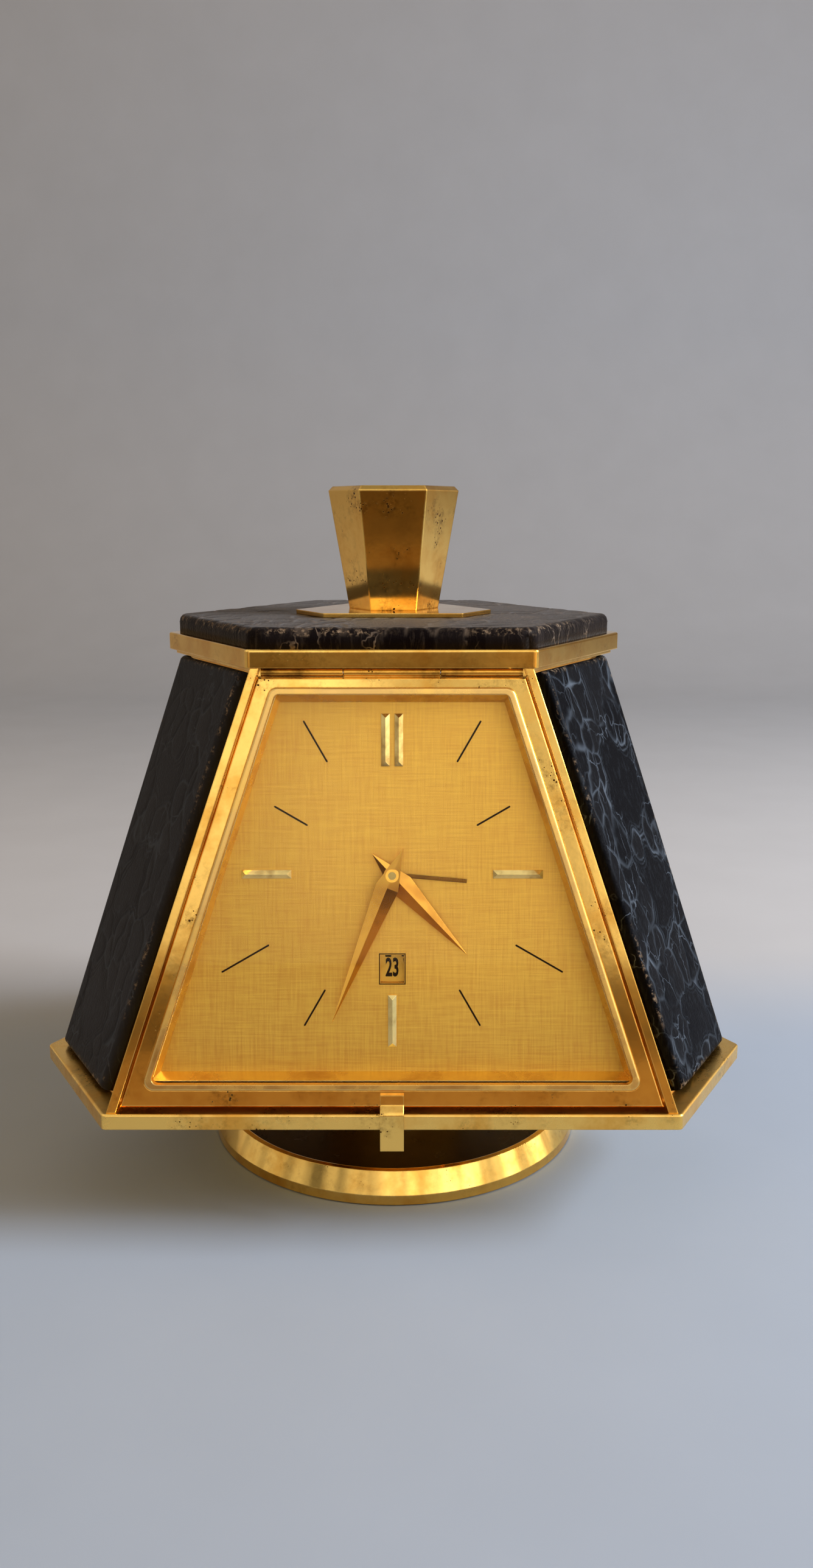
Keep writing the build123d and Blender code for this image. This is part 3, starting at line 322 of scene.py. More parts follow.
def crocodile_hide(name, hide, vein_tone, rubbed, sheen):
    """Dyed crocodile leather, glazed by rubbing: near-black scales with a soft shine, pale dry grooves and
    veins between them, and a buff tone where the dye has rubbed through at the edges."""
    made, put, shader, place = surface(name, {"IOR": 1.48, "Specular IOR Level": 0.022,
                                              "Sheen Weight": sheen, "Sheen Roughness": 0.35})
    groove, wear, cell, oval = (put("Attribute", attribute_name=key, out="Fac")
                                for key in ("groove", "wear", "cell", "oval"))
    # Creases within a scale are about 0.9 mm apart, and run along the hide
    fibre = put("Mapping", {"Vector": place, "Scale": (per(0.9), per(0.9), per(5))})
    crease = put("TexNoise", {"Vector": fibre, "Scale": 1.0, "Detail": 4.0, "Roughness": 0.65})
    patch = put("TexNoise", {"Vector": place, "Scale": per(9), "Detail": 2.0})
    streak = put("MapRange", {"Value": crease, "From Min": 0.52, "From Max": 0.80})
    streak = put("Math", {0: streak, 1: 0.12}, operation="MULTIPLY")
    dry = put("MapRange", {"Value": patch, "From Min": 0.3, "From Max": 0.7, "To Min": 0.45})
    pale = put("Math", {0: groove, 1: dry, 2: streak}, operation="MULTIPLY_ADD", use_clamp=True)
    # Veins are about 0.15 mm wide, in a net 5 mm wide and 10 mm long, and leave the large ovals free
    net = put("Mapping", {"Vector": place, "Scale": (per(5), per(5), per(10))})
    stir = put("TexNoise", {"Vector": place, "Scale": per(4), "Detail": 3.0}, out="Color")
    net = put("VectorMath", {0: stir, 1: (0.7, 0.7, 0.7), 2: net}, operation="MULTIPLY_ADD")
    vein = put("TexVoronoi", {"Vector": net, "Scale": 1.0}, feature="DISTANCE_TO_EDGE", out="Distance")
    vein = put("MapRange", {"Value": vein, "From Max": 0.028, "To Min": 1.0, "To Max": 0.0})
    come = put("TexNoise", {"Vector": place, "Scale": per(7), "Detail": 2.0})
    come = put("MapRange", {"Value": come, "From Min": 0.41, "From Max": 0.65})
    come = put("Math", {0: come, 1: oval}, operation="SUBTRACT", use_clamp=True)
    vein = put("Math", {0: vein, 1: come}, operation="MULTIPLY")
    pale = put("Math", {0: pale, 1: vein}, operation="MAXIMUM")
    # Some scales have taken less dye, and a board whose veins show less is painted lighter, a painted sheen
    paler_dye_and_sheen = tuple(c * 3.0 + 0.030 for c in hide)
    tone = put("Mix", {0: cell, 6: full(hide), 7: full(paler_dye_and_sheen)}, **RGBA)
    tone = put("Mix", {0: pale, 6: tone, 7: full(vein_tone)}, **RGBA)
    # Rubbed specks are about 0.7 mm across
    speck = put("TexNoise", {"Vector": place, "Scale": per(1.3), "Detail": 4.0, "Roughness": 0.7})
    speck = put("MapRange", {"Value": speck, "From Min": 0.52, "From Max": 0.66})
    wear = put("Math", {0: wear, 1: speck}, operation="MULTIPLY")
    tone = put("Mix", {0: wear, 6: tone, 7: full(rubbed)}, **RGBA)
    dull = put("MapRange", {"Value": pale, "To Min": 0.40, "To Max": 0.75})
    grain = put("TexVoronoi", {"Vector": place, "Scale": per(0.55)}, out="Distance")
    rough = put("Math", {0: crease, 1: 1.6, 2: grain}, operation="MULTIPLY_ADD")
    bump = put("Bump", {"Height": rough, "Strength": 0.30, "Distance": 0.00015})
    feed(shader, {"Base Color": tone, "Roughness": dull, "Normal": bump})
    return made


def printed_ink(name, film, roughness, grain_mm):
    """Ink or lacquer laid thinly on metal: an even dark film with slight mottling and a dull shine."""
    made, put, shader, place = surface(name, {"IOR": 1.5, "Specular IOR Level": 0.12})
    mottle = put("TexNoise", {"Vector": place, "Scale": per(grain_mm), "Detail": 4.0})
    tone = put("Mix", {0: mottle, 6: full(film, 0.55), 7: full(film)}, **RGBA)
    dull = put("MapRange", {"Value": mottle, "To Min": roughness * 0.7, "To Max": roughness * 1.3})
    bump = put("Bump", {"Height": mottle, "Strength": 0.1, "Distance": 0.0001})
    feed(shader, {"Base Color": tone, "Roughness": dull, "Normal": bump})
    return made


def wool_felt(colours):
    """Pressed wool felt: a matt, hairy surface that takes light at its edges."""
    made, put, shader, place = surface("wool_felt", {"Roughness": 0.95, "Sheen Weight": 0.4})
    hair = put("TexNoise", {"Vector": place, "Scale": per(0.7), "Detail": 6.0, "Roughness": 0.75})
    tone = put("Mix", {0: hair, 6: full(colours.felt), 7: full(colours.felt, 2.2)}, **RGBA)
    bump = put("Bump", {"Height": hair, "Strength": 0.6, "Distance": 0.0003})
    feed(shader, {"Base Color": tone, "Normal": bump})
    return made


def clock_glass(colours):
    """Flat mineral glass: clear, with a faint reflection that grows at a slant."""
    made, put, shader, place = surface("clock_glass", {"Metallic": 1.0})
    smear = put("TexNoise", {"Vector": place, "Scale": per(25), "Detail": 2.0})
    dull = put("MapRange", {"Value": smear, "To Min": 0.01, "To Max": 0.06})
    feed(shader, {"Base Color": full(colours.glass_face), "Roughness": dull})
    clear = put("BsdfTransparent", {"Color": full(colours.glass)})
    slant = put("LayerWeight", {"Blend": 0.5}, out="Facing")
    slant = put("Math", {0: slant, 1: 5.0}, operation="POWER")
    share = put("Math", {0: slant, 1: 0.6, 2: 0.004}, operation="MULTIPLY_ADD")
    both = put("MixShader", {0: share, 1: clear, 2: shader.outputs[0]})
    feed(made.node_tree.nodes["Material Output"], {"Surface": both})
    return made


def sweep_paper(colours):
    """Matt painted board and paper: a bluish table that runs softly into a grey backdrop."""
    made, put, shader, place = surface("sweep_paper", {"Roughness": 0.85, "Specular IOR Level": 0.2})
    parts = put("SeparateXYZ", {0: place}, out=None)
    near = put("MapRange", {"Value": parts["Y"], "From Min": 0.035, "From Max": 0.13}, **SMOOTH)
    far = put("MapRange", {"Value": parts["Y"], "From Min": 0.12, "From Max": 0.75}, **SMOOTH)
    fleck = put("TexNoise", {"Vector": place, "Scale": per(40), "Detail": 3.0})
    fleck = put("MapRange", {"Value": fleck, "To Min": 0.96, "To Max": 1.04})
    # Painted light: the table is made lighter where it runs into the backdrop
    tone = put("Mix", {0: near, 6: full(colours.floor), 7: full(colours.haze)}, **RGBA)
    tone = put("Mix", {0: far, 6: tone, 7: full(colours.backdrop)}, **RGBA)
    # Painted reflection: in polished metal the backdrop is made lighter on the left, darker on the right
    even = put("MapRange", {"Value": parts["X"], "From Min": -0.8, "From Max": 0.8,
                            "To Min": 1.5, "To Max": 0.9})
    glossy = put("LightPath", out="Is Glossy Ray")
    even = put("Mix", {0: glossy, 2: 1.0, 3: even})
    fleck = put("Math", {0: fleck, 1: even}, operation="MULTIPLY")
    tone = put("VectorMath", {0: tone, 3: fleck}, operation="SCALE")
    feed(shader, {"Base Color": tone})
    return made


def card_paint(colours):
    """Matt painted card: buff near the clock and brown farther off, a painted reflection of the shaded table
    in front of the clock.
    """
    made, put, shader, place = surface("card_paint", {"Roughness": 0.9, "Specular IOR Level": 0.1})
    depth = put("SeparateXYZ", {0: place}, out="Y")
    near = put("MapRange", {"Value": depth, "From Min": -0.43, "From Max": -0.35}, **SMOOTH)
    tone = put("Mix", {0: near, 6: full(colours.card_far), 7: full(colours.card_near)}, **RGBA)
    feed(shader, {"Base Color": tone})
    return made


# Frames, meshes and placing


def face_frame():
    """The dial's own axes in the clock: x to the right, y up the dial, z out of it, from the face's front
    plane."""
    inward = Vector(JOINTS["minute_turn"]["axis"]).normalized()
    right = Vector((1.0, 0.0, 0.0))
    axes = Matrix((right, right.cross(inward), -inward)).transposed().to_4x4()
    return Matrix.Translation(JOINTS["minute_turn"]["pos_m"]) @ axes


FACE = face_frame()


def front_of(node):
    """How far out a node's front stands along the dial's outward axis."""
    back = FACE.inverted()
    return max((back @ v.co).z for v in frame["nodes"][node].data.vertices)


def merged(node):
    """A copy of a node's mesh, its loose triangles joined and flat faces made whole."""
    bm = bmesh.new()
    bm.from_mesh(frame["nodes"][node].data)
    bmesh.ops.remove_doubles(bm, verts=bm.verts, dist=2e-6)
    bmesh.ops.dissolve_limit(bm, angle_limit=math.radians(1.0), verts=bm.verts, edges=bm.edges)
    return bm


def object_of(name, bm, material, smooth=False):
    """Makes an object of a bmesh, in its finish."""
    mesh = bpy.data.meshes.new(name)
    bm.to_mesh(mesh)
    bm.free()
    if smooth:
        mesh.shade_smooth()
    mesh.materials.append(material)
    made = bpy.data.objects.new(name, mesh)
    bpy.context.scene.collection.objects.link(made)
    return made


def piece(name, bm, material, body, smooth=False):
    """Makes an object of a bmesh, in its finish, and sets it on its body."""
    made = object_of(name, bm, material, smooth)
    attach(made, body)
    return made


def dress(nodes, material):
    """Gives these nodes this finish."""
    for node in nodes:
        for slot in frame["nodes"][node].material_slots:
            slot.link = "OBJECT"
            slot.material = material


def in_slot(slot):
    """The nodes that the record puts in a material slot."""
    return [node for node, name in SLOT_OF.items() if name == slot]


def only(kind, items):
    """Those of a bmesh operation's items that are of one kind."""
    return [item for item in items if isinstance(item, kind)]


def drawn_on(bm, edges, step):
    """Draws edges on by a step, and gives the new edges and their ends."""
    run = bmesh.ops.extrude_edge_only(bm, edges=edges)["geom"]
    ends = only(bmesh.types.BMVert, run)
    bmesh.ops.translate(bm, vec=step, verts=ends)
    return only(bmesh.types.BMEdge, run), ends


# The leather


def drift(across, along, swell_mm, seed):
    """Smooth random values from -1 to 1 over the hide, with swells of this size."""
    count = 97
    field = np.random.default_rng(seed).uniform(-1, 1, (count, count))
    # The hide lies well inside the field
    a, b = across / swell_mm + 31.0, along / swell_mm + 17.0
    i, j = np.floor(a).astype(int), np.floor(b).astype(int)
    s, t = a - i, b - j
    s, t = s * s * (3 - 2 * s), t * t * (3 - 2 * t)
    i, j, next_i, next_j = i % count, j % count, (i + 1) % count, (j + 1) % count
    low = field[i, j] * (1 - s) + field[next_i, j] * s
    high = field[i, next_j] * (1 - s) + field[next_i, next_j] * s
    return low * (1 - t) + high * t


def scale_layout(pick, width, height, sizes, lead):
    """Places across and along the hide of its scales, and their half sizes, in mm, large ovals first."""
    oval_a, oval_b = sizes.oval_width * 500, sizes.oval_length * 500
    # Large ovals stand in staggered columns along the hide
    column_step, row_step = 2.9 * oval_a, 2.7 * oval_b
    columns = int(width / column_step) + 2
    rows = int(height / row_step) + 2
    ovals = []
    for column in range(-columns, columns):
        for row in range(-1, rows):
            a = lead * width + column * column_step + pick.normal(0, 0.6)
            b = (row + 0.46 + 0.5 * (column % 2)) * row_step + pick.normal(0, 1.0)
            ovals.append((a, b, oval_a * pick.uniform(0.72, 1.08), oval_b * pick.uniform(0.75, 1.1)))
    # Small scales fill what the ovals leave
    small = []
    step = sizes.small_scale * 1000
    long_step = 1.5 * step
    for i in range(-2, int(width / step) + 3):
        for j in range(-2, int(height / long_step) + 3):
            a = (i + 0.5 * (j % 2) + pick.uniform(-0.35, 0.35)) * step
            b = (j + pick.uniform(-0.35, 0.35)) * long_step
            if all(math.hypot((a - oa) / ra, (b - ob) / rb) > 1.12 for oa, ob, ra, rb in ovals):
                small.append((a, b, step * pick.uniform(0.4, 0.7), step * pick.uniform(0.6, 1.2)))
    return ovals + small


def hide_scales(across, along, width, height, sizes, seed, lead):
    """Groove share, dome share, tone and large-oval share at points in mm across and along the hide."""
    pick = np.random.default_rng(seed)
    # Scales wander from their rows, in long swells and short ones
    shift_a = 1.5 * drift(across, along, 9.0, seed) + 0.7 * drift(across, along, 2.6, seed + 1)
    shift_b = 2.0 * drift(across, along, 9.0, seed + 2) + 0.9 * drift(across, along, 2.6, seed + 3)
    across, along = across + shift_a, along + shift_b
    near = np.full(across.shape, 1e9)
    second = near.copy()
    reach = np.zeros(across.shape)
    tone = np.zeros(across.shape)
    for a, b, ra, rb in scale_layout(pick, width, height, sizes, lead):
        gap = np.hypot((across - a) / ra, (along - b) / rb)
        first = gap < near
        second = np.where(first, near, np.minimum(second, gap))
        reach = np.where(first, ra, reach)
        tone = np.where(first, pick.uniform(), tone)
        near = np.where(first, gap, near)
    edge = 0.5 * (second - near) * reach
    # Grooves swell and fade, and two faint lines run inside the large ovals
    swell = 0.30 + 0.15 * drift(across, along, 4.0, seed + 4)
    fade = 0.62 + 0.55 * drift(across, along, 7.0, seed + 5) + 0.25 * drift(across, along, 2.0, seed + 6)
    large = reach > 0.5 * sizes.oval_width * 500
    inner = 0.8 * np.exp(-((edge - 1.2) / 0.25) ** 2) + 0.5 * np.exp(-((edge - 2.5) / 0.25) ** 2)
    groove = np.maximum(np.exp(-(edge / swell) ** 2), inner * large) * np.clip(fade, 0.12, 1)
    dome = np.clip(1 - near ** 2, 0, 1)
    return groove, dome, tone, np.clip((1 - near) / 0.3, 0, 1) * large


def give(bm, name, values):
    """Writes one number per vertex, under a name that a material reads."""
    layer = bm.verts.layers.float.new(name)
    for vert, value in zip(bm.verts, values):
        vert[layer] = float(value)


def rolled(turn, r):
    """How far leather sinks where it turns over an edge of radius r, at this distance into the turn."""
    return r - np.sqrt(np.maximum(r * r - turn * turn, 0))


def skirted(bm, normal, base):
    """Draws a grid's rim down to a base plane and closes it there."""
    rim = [e for e in bm.edges if e.is_boundary]
    for vert in only(bmesh.types.BMVert, bmesh.ops.extrude_edge_only(bm, edges=rim)["geom"]):
        vert.co -= normal * (vert.co.dot(normal) - base)
    bmesh.ops.holes_fill(bm, edges=[e for e in bm.edges if e.is_boundary], sides=0)
    bmesh.ops.recalc_face_normals(bm, faces=bm.faces)


def board_shape(node):
    """A board's outer side: its four corners from the low left round, its axes outward, sideways and up,
    and the board's thickness."""
    bm = merged(node)
    middle = sum((v.co for v in bm.verts), Vector()) / len(bm.verts)
    away = Vector((middle.x, middle.y, 0.0)).normalized()
    outer = max((f for f in bm.faces if f.normal.dot(away) > 0.8), key=lambda f: f.calc_area())
    normal = outer.normal.copy()
    top = outer.verts[0].co.dot(normal)
    inside = set(outer.verts)
    # The corners are those next to the flat outer face, brought up to its level
    corners = [next(e.other_vert(v) for e in v.link_edges if e.other_vert(v) not in inside).co
               for v in outer.verts]
    corners = [c + normal * (top - c.dot(normal)) for c in corners]
    thick = top - min(v.co.dot(normal) for v in bm.verts)
    bm.free()
    side = UP.cross(normal).normalized()
    rise = normal.cross(side)
    centre = sum(corners, Vector()) / len(corners)
    turn = sorted(corners, key=lambda c: math.atan2((c - centre).dot(rise), (c - centre).dot(side)))
    return turn, normal, side, rise, thick


def spaced(share, size, border, count):
    """Where a grid line lies along a side, with lines gathered near both ends."""
    at = share * count
    if at > count / 2:
        return size - spaced(1 - share, size, border, count)
    if at <= EDGE_ROWS:
        return border * (1 - math.cos(math.pi / 2 * at / EDGE_ROWS))
    return border + (at - EDGE_ROWS) / (count - 2 * EDGE_ROWS) * (size - 2 * border)


def leather_board(node, material, sizes, seed, step, show, lead):
    """One leather-covered board: a fine grid on the board's outline, turned over at the edges, with the
    hide's relief."""
    (q0, q1, q2, q3), normal, side, rise, thick = board_shape(node)
    width = 0.5 * ((q1 - q0).length + (q2 - q3).length)
    height = 0.5 * ((q3 - q0).length + (q2 - q1).length)
    over, up = max(24, round(width / step)), max(24, round(height / step))
    bm = bmesh.new()
    bmesh.ops.create_grid(bm, x_segments=over, y_segments=up, size=0.5)
    r = sizes.edge_round
    border = r * 1.1
    gap = np.zeros((len(bm.verts), 2))
    for i, vert in enumerate(bm.verts):
        a = spaced(vert.co.x + 0.5, width, border, over)
        b = spaced(vert.co.y + 0.5, height, border, up)
        s, t = a / width, b / height
        vert.co = (q0 * (1 - s) + q1 * s) * (1 - t) + (q3 * (1 - s) + q2 * s) * t
        gap[i] = min(a, width - a), min(b, height - b)
    across = np.array([(v.co - q0).dot(side) for v in bm.verts]) * 1000
    along = np.array([(v.co - q0).dot(rise) for v in bm.verts]) * 1000
    groove, dome, tone, oval = hide_scales(across - across.min(), along, np.ptp(across), np.ptp(along),
                                           sizes, seed, lead)
    inset = gap.min(axis=1)
    drop = rolled(np.minimum(np.hypot(*np.clip(r - gap, 0, r).T), r), r)
    # The relief dies out towards the edges
    calm = np.clip(inset / (3 * r) - 0.35, 0, 1)
    sink = drop + calm * (groove + (1 - dome) * 0.35) * sizes.groove_depth
    for vert, depth in zip(bm.verts, sink):
        vert.co -= normal * float(depth)
    rub = np.clip(0.5 + drift(across, along, 11.0, seed + 7), 0, 1) * np.clip(1 - inset / (1.5 * r), 0, 1)
    give(bm, "groove", show * groove ** 2 * np.clip(inset / (2 * r), 0, 1))
    # Dye tone that differs from scale to scale, plus painted sheen that lightens a board whose veins show less
    give(bm, "cell", 0.15 * tone + 1.3 * (1 - show))
    give(bm, "wear", rub * (inset > 0.1 * r))
    give(bm, "oval", np.maximum(oval, 1 - show))
    skirted(bm, normal, q0.dot(normal) - thick)
    made = piece("leather_" + node, bm, material, "case", smooth=True)
    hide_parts(node)


def leather_pad(material, sizes, seed):
    """The leather pad under the knob: a fine grid trimmed to the pad's six sides, rounded over, with the
    hide's relief."""
    shape = merged("top_pad")
    faces = [(f.normal.copy(), f.calc_center_median(), f.calc_area()) for f in shape.faces]
    shape.free()
    sides = [(normal, point) for normal, point, area in faces
             if abs(normal.z) < 0.05 and area > 2e-5 and normal.dot(point) > 0]
    low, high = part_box("top_pad")
    span = high - low
    over, up = round(span.x / sizes.pad_step), round(span.y / sizes.pad_step)
    bm = bmesh.new()
    bmesh.ops.create_grid(bm, x_segments=over, y_segments=up, size=0.5)
    bmesh.ops.scale(bm, vec=(span.x * 1.02, span.y * 1.02, 1.0), verts=bm.verts)
    bmesh.ops.translate(bm, vec=((low.x + high.x) / 2, (low.y + high.y) / 2, high.z), verts=bm.verts)
    for normal, point in sides:
        bmesh.ops.bisect_plane(bm, geom=bm.verts[:] + bm.edges[:] + bm.faces[:], dist=1e-6,
                               plane_co=point, plane_no=normal, clear_outer=True)
    at = np.array([v.co for v in bm.verts])
    reach = np.array([[(point - Vector(c)).dot(normal) for normal, point in sides] for c in at])
    # Rounded corners in plan: the nearest two sides count together
    close = np.clip(sizes.pad_corner - reach, 0, None)
    both = np.sqrt((close ** 2).sum(axis=1))
    gap = np.where(close.any(axis=1), sizes.pad_corner - both, reach.min(axis=1))
    outward = (close / np.maximum(both, 1e-9)[:, None]) @ np.array([normal for normal, _ in sides])
    at = at - outward * np.clip(-gap, 0, None)[:, None]
    gap = np.maximum(gap, 0)
    groove, dome, tone, oval = hide_scales((at[:, 0] - low.x) * 1000, (at[:, 1] - low.y) * 1000,
                                           span.x * 1000, span.y * 1000, sizes, seed, 0.5)
    r = sizes.pad_round
    drop = rolled(np.clip(r - gap, 0, r), r)
    sink = drop + (groove * 0.7 + (1 - dome) * 0.3) * sizes.groove_depth
    for vert, spot, depth in zip(bm.verts, at, sink):
        vert.co = spot
        vert.co.z -= float(depth)
    rub = np.clip(0.65 + drift(at[:, 0] * 1000, at[:, 1] * 1000, 7.0, seed + 7), 0, 1)
    inside = gap > 0.1 * r
    give(bm, "groove", groove ** 2 * 0.4 * inside)
    give(bm, "cell", tone * 0.2)
    give(bm, "wear", np.clip(0.22 + drop / r * 1.2, 0, 0.8) * rub * inside)
    give(bm, "oval", np.maximum(oval * 0.5, 0.4))
    skirted(bm, UP, low.z)
    made = piece("leather_top_pad", bm, material, "case", smooth=True)
    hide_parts("top_pad")


# The dial


def clock_turn(hour):
    """The turn that takes the dial's upright to an hour."""
    return Matrix.Rotation(-math.radians(30 * hour), 4, "Z")


def hour_lines(level, sizes):
    """The printed hour lines, with rounded ends, on the dial's front."""
    bm = bmesh.new()
    for hour, (start, end) in HOUR_LINES.items():
        bar = bmesh.ops.create_cube(bm, size=1.0)["verts"]
        bmesh.ops.scale(bm, vec=(sizes.line_width, (end - start) / 1000, sizes.print_rise), verts=bar)
        bmesh.ops.translate(bm, vec=(0.0, (start + end) / 2000, sizes.print_rise / 2), verts=bar)
        bmesh.ops.transform(bm, matrix=level @ clock_turn(hour), verts=bar)
    upright = [e for e in bm.edges if e.calc_length() < sizes.print_rise * 1.5]
    bmesh.ops.bevel(bm, geom=upright, offset=sizes.line_width * 0.45, segments=3, profile=0.5,
                    affect="EDGES", material=-1)
    return bm


def window_border(level, sizes):
    """The dark border of the date window, which follows the opening in the dial: part print, part painted
    shade at the window's edge.
    """
    bm = merged("dial")
    back = FACE.inverted()
    hole = [back @ v.co for v in bm.verts]
    bm.free()
    half, lowest, highest = WINDOW_PART
    hole = [p for p in hole if abs(p.x) < half and lowest < p.y < highest]
    low = Vector((min(p.x for p in hole), min(p.y for p in hole)))
    high = Vector((max(p.x for p in hole), max(p.y for p in hole)))
    border = sizes.window_border
    bm = bmesh.new()
    bmesh.ops.create_grid(bm, x_segments=1, y_segments=1, size=0.5)
    bmesh.ops.scale(bm, vec=(high.x - low.x + 2 * border, high.y - low.y + 2 * border, 1.0), verts=bm.verts)
    middle = bm.faces[:]
    bmesh.ops.inset_individual(bm, faces=middle, thickness=border)
    bmesh.ops.delete(bm, geom=middle, context="FACES")
    bmesh.ops.solidify(bm, geom=bm.faces[:], thickness=sizes.print_rise)
    bmesh.ops.recalc_face_normals(bm, faces=bm.faces)
    sunk = min(v.co.z for v in bm.verts)
    bmesh.ops.translate(bm, vec=((low.x + high.x) / 2, (low.y + high.y) / 2, -sunk), verts=bm.verts)
    bmesh.ops.transform(bm, matrix=level, verts=bm.verts)
    return bm


# The stage


def add_sweep(colours):
    """A table that curves up into the backdrop."""
    bm = bmesh.new()
    near = bm.edges.new([bm.verts.new((x, SWEEP_FRONT, 0.0)) for x in (-SWEEP_HALF, SWEEP_HALF)])
    edges, ends = drawn_on(bm, [near], (0.0, SWEEP_BACK - SWEEP_FRONT, 0.0))
    arc = bmesh.ops.spin(bm, geom=ends + edges, cent=(0.0, SWEEP_BACK, SWEEP_BEND), axis=(1.0, 0.0, 0.0),
                         dvec=(0.0, 0.0, 0.0), angle=math.pi / 2, steps=24, use_duplicate=False)
    drawn_on(bm, only(bmesh.types.BMEdge, arc["geom_last"]), (0.0, 0.0, SWEEP_TOP - SWEEP_BEND))
    bmesh.ops.recalc_face_normals(bm, faces=bm.faces)
    sweep = object_of("sweep", bm, sweep_paper(colours), smooth=True)


def add_card(colours):
    """A dim brown card in front, low down, which only polished metal shows: a painted reflection of the
    shaded table in front of the clock.
    """
    bm = bmesh.new()
    edges = [bm.edges.new([bm.verts.new((x, *CARD_EDGE)) for x in (-CARD_HALF, CARD_HALF)])]
    for step in CARD_STEPS:
        edges, _ = drawn_on(bm, edges, step)
    card = object_of("card", bm, card_paint(colours))
    card.visible_camera = card.visible_diffuse = card.visible_shadow = card.visible_transmission = False


def room(colours):
    """A room for the metal to show: brown and dim low down, pale higher up and brighter on the right."""
    world = bpy.data.worlds.new("room")
    world.use_nodes = True
    put = partial(add, world.node_tree)
    around = put("TexCoord", out="Generated")
    toward = put("SeparateXYZ", {0: around}, out=None)
    high = put("MapRange", {"Value": toward["Z"], "From Min": -0.19, "From Max": 0.11}, **SMOOTH)
    tone = put("Mix", {0: high, 6: full(colours.room_low), 7: full(colours.room_high)}, **RGBA)
    west = put("MapRange", {"Value": toward["X"], "From Min": -0.55, "From Max": 0.05,
                            "To Min": 0.35}, **SMOOTH)
    east = put("MapRange", {"Value": toward["X"], "To Min": 0.95, "To Max": 1.6})
    east = put("Math", {0: east, 1: west}, operation="MULTIPLY")
    above = put("MapRange", {"Value": toward["Z"], "From Min": 0.4, "From Max": 0.8})
    glow = put("Mix", {0: above, 2: east, 3: 1.0})
    roof = put("MapRange", {"Value": toward["Z"], "From Min": 0.35, "From Max": 0.95,
                            "To Min": 1.8, "To Max": 0.8})
    # Window bars, curtains and people stand as upright streaks in polished metal
    upright = put("Mapping", {"Vector": around, "Scale": (5.0, 5.0, 1.2)})
    streak = put("TexNoise", {"Vector": upright, "Scale": 1.0, "Detail": 2.0})
    streak = put("MapRange", {"Value": streak, "From Min": 0.36, "From Max": 0.56,
                              "To Min": 0.35, "To Max": 1.15})
    # Whoever stands before the clock is a dark patch in its upright plates
    patch = put("Math", {0: toward["X"], 1: 0.04}, operation="ADD")
    patch = put("Math", {0: patch}, operation="ABSOLUTE")
    patch = put("MapRange", {"Value": patch, "From Min": 0.095, "From Max": 0.125,
                             "To Min": 0.28, "To Max": 1.10})
    low = put("MapRange", {"Value": toward["Z"], "From Min": -0.07, "From Max": -0.02,
                           "To Min": 1.0, "To Max": 0.0})
    patch = put("Mix", {0: low, 2: 1.0, 3: patch})
    for share in (roof, streak, patch):
        glow = put("Math", {0: glow, 1: share}, operation="MULTIPLY")
    tone = put("VectorMath", {0: tone, 3: glow}, operation="SCALE")
    # Metal and glass show the bright room, while its light on matt surfaces is dim and warm
    path = put("LightPath", out=None)
    shown = put("Math", {0: path["Is Glossy Ray"], 1: path["Is Transmission Ray"]}, operation="MAXIMUM")
    tone = put("Mix", {0: shown, 6: full(colours.room_fill), 7: tone}, **RGBA)
    tone = put("Mix", {0: path["Is Camera Ray"], 6: tone, 7: full(colours.backdrop)}, **RGBA)
    feed(world.node_tree.nodes["Background"], {"Color": tone, "Strength": 1.0})
    return world


# Operators


class CLOCK_OT_stage(bpy.types.Operator):
    """Sweep, lights, surroundings and camera"""
    bl_idname = "clock.stage"
    bl_label = "Set the stage"

    def execute(self, context):
        scene, colours = context.scene, context.scene.clock_colours
        scene.view_settings.view_transform = "Standard"
        add_sweep(colours)
        add_card(colours)
        scene.world = room(colours)
        # A large window to the right and a weak one to the left
        for name, (spot, size, watts) in WINDOWS.items():
            lamp = bpy.data.lights.new(name, "AREA")
            lamp.shape = "SQUARE"
            lamp.size = size
            lamp.energy = watts
            lamp.color = getattr(colours, name)
            holder = bpy.data.objects.new(name, lamp)
            holder.location = spot
            holder.rotation_euler = (WINDOWS_FACE - Vector(spot)).to_track_quat("-Z", "Y").to_euler()
            scene.collection.objects.link(holder)
        # The camera stands level with the knob and looks down a little
        lens = bpy.data.cameras.new("camera")
        lens.sensor_fit = "VERTICAL"
        lens.sensor_height = CAMERA_SENSOR
        lens.lens = CAMERA_LENS
        lens.clip_start = 0.01
        camera = bpy.data.objects.new("camera", lens)
        camera.location = CAMERA_SPOT
        camera.rotation_euler = (math.radians(90.0 - CAMERA_DIP), 0.0, 0.0)
        scene.collection.objects.link(camera)
        scene.camera = camera
        return {"FINISHED"}


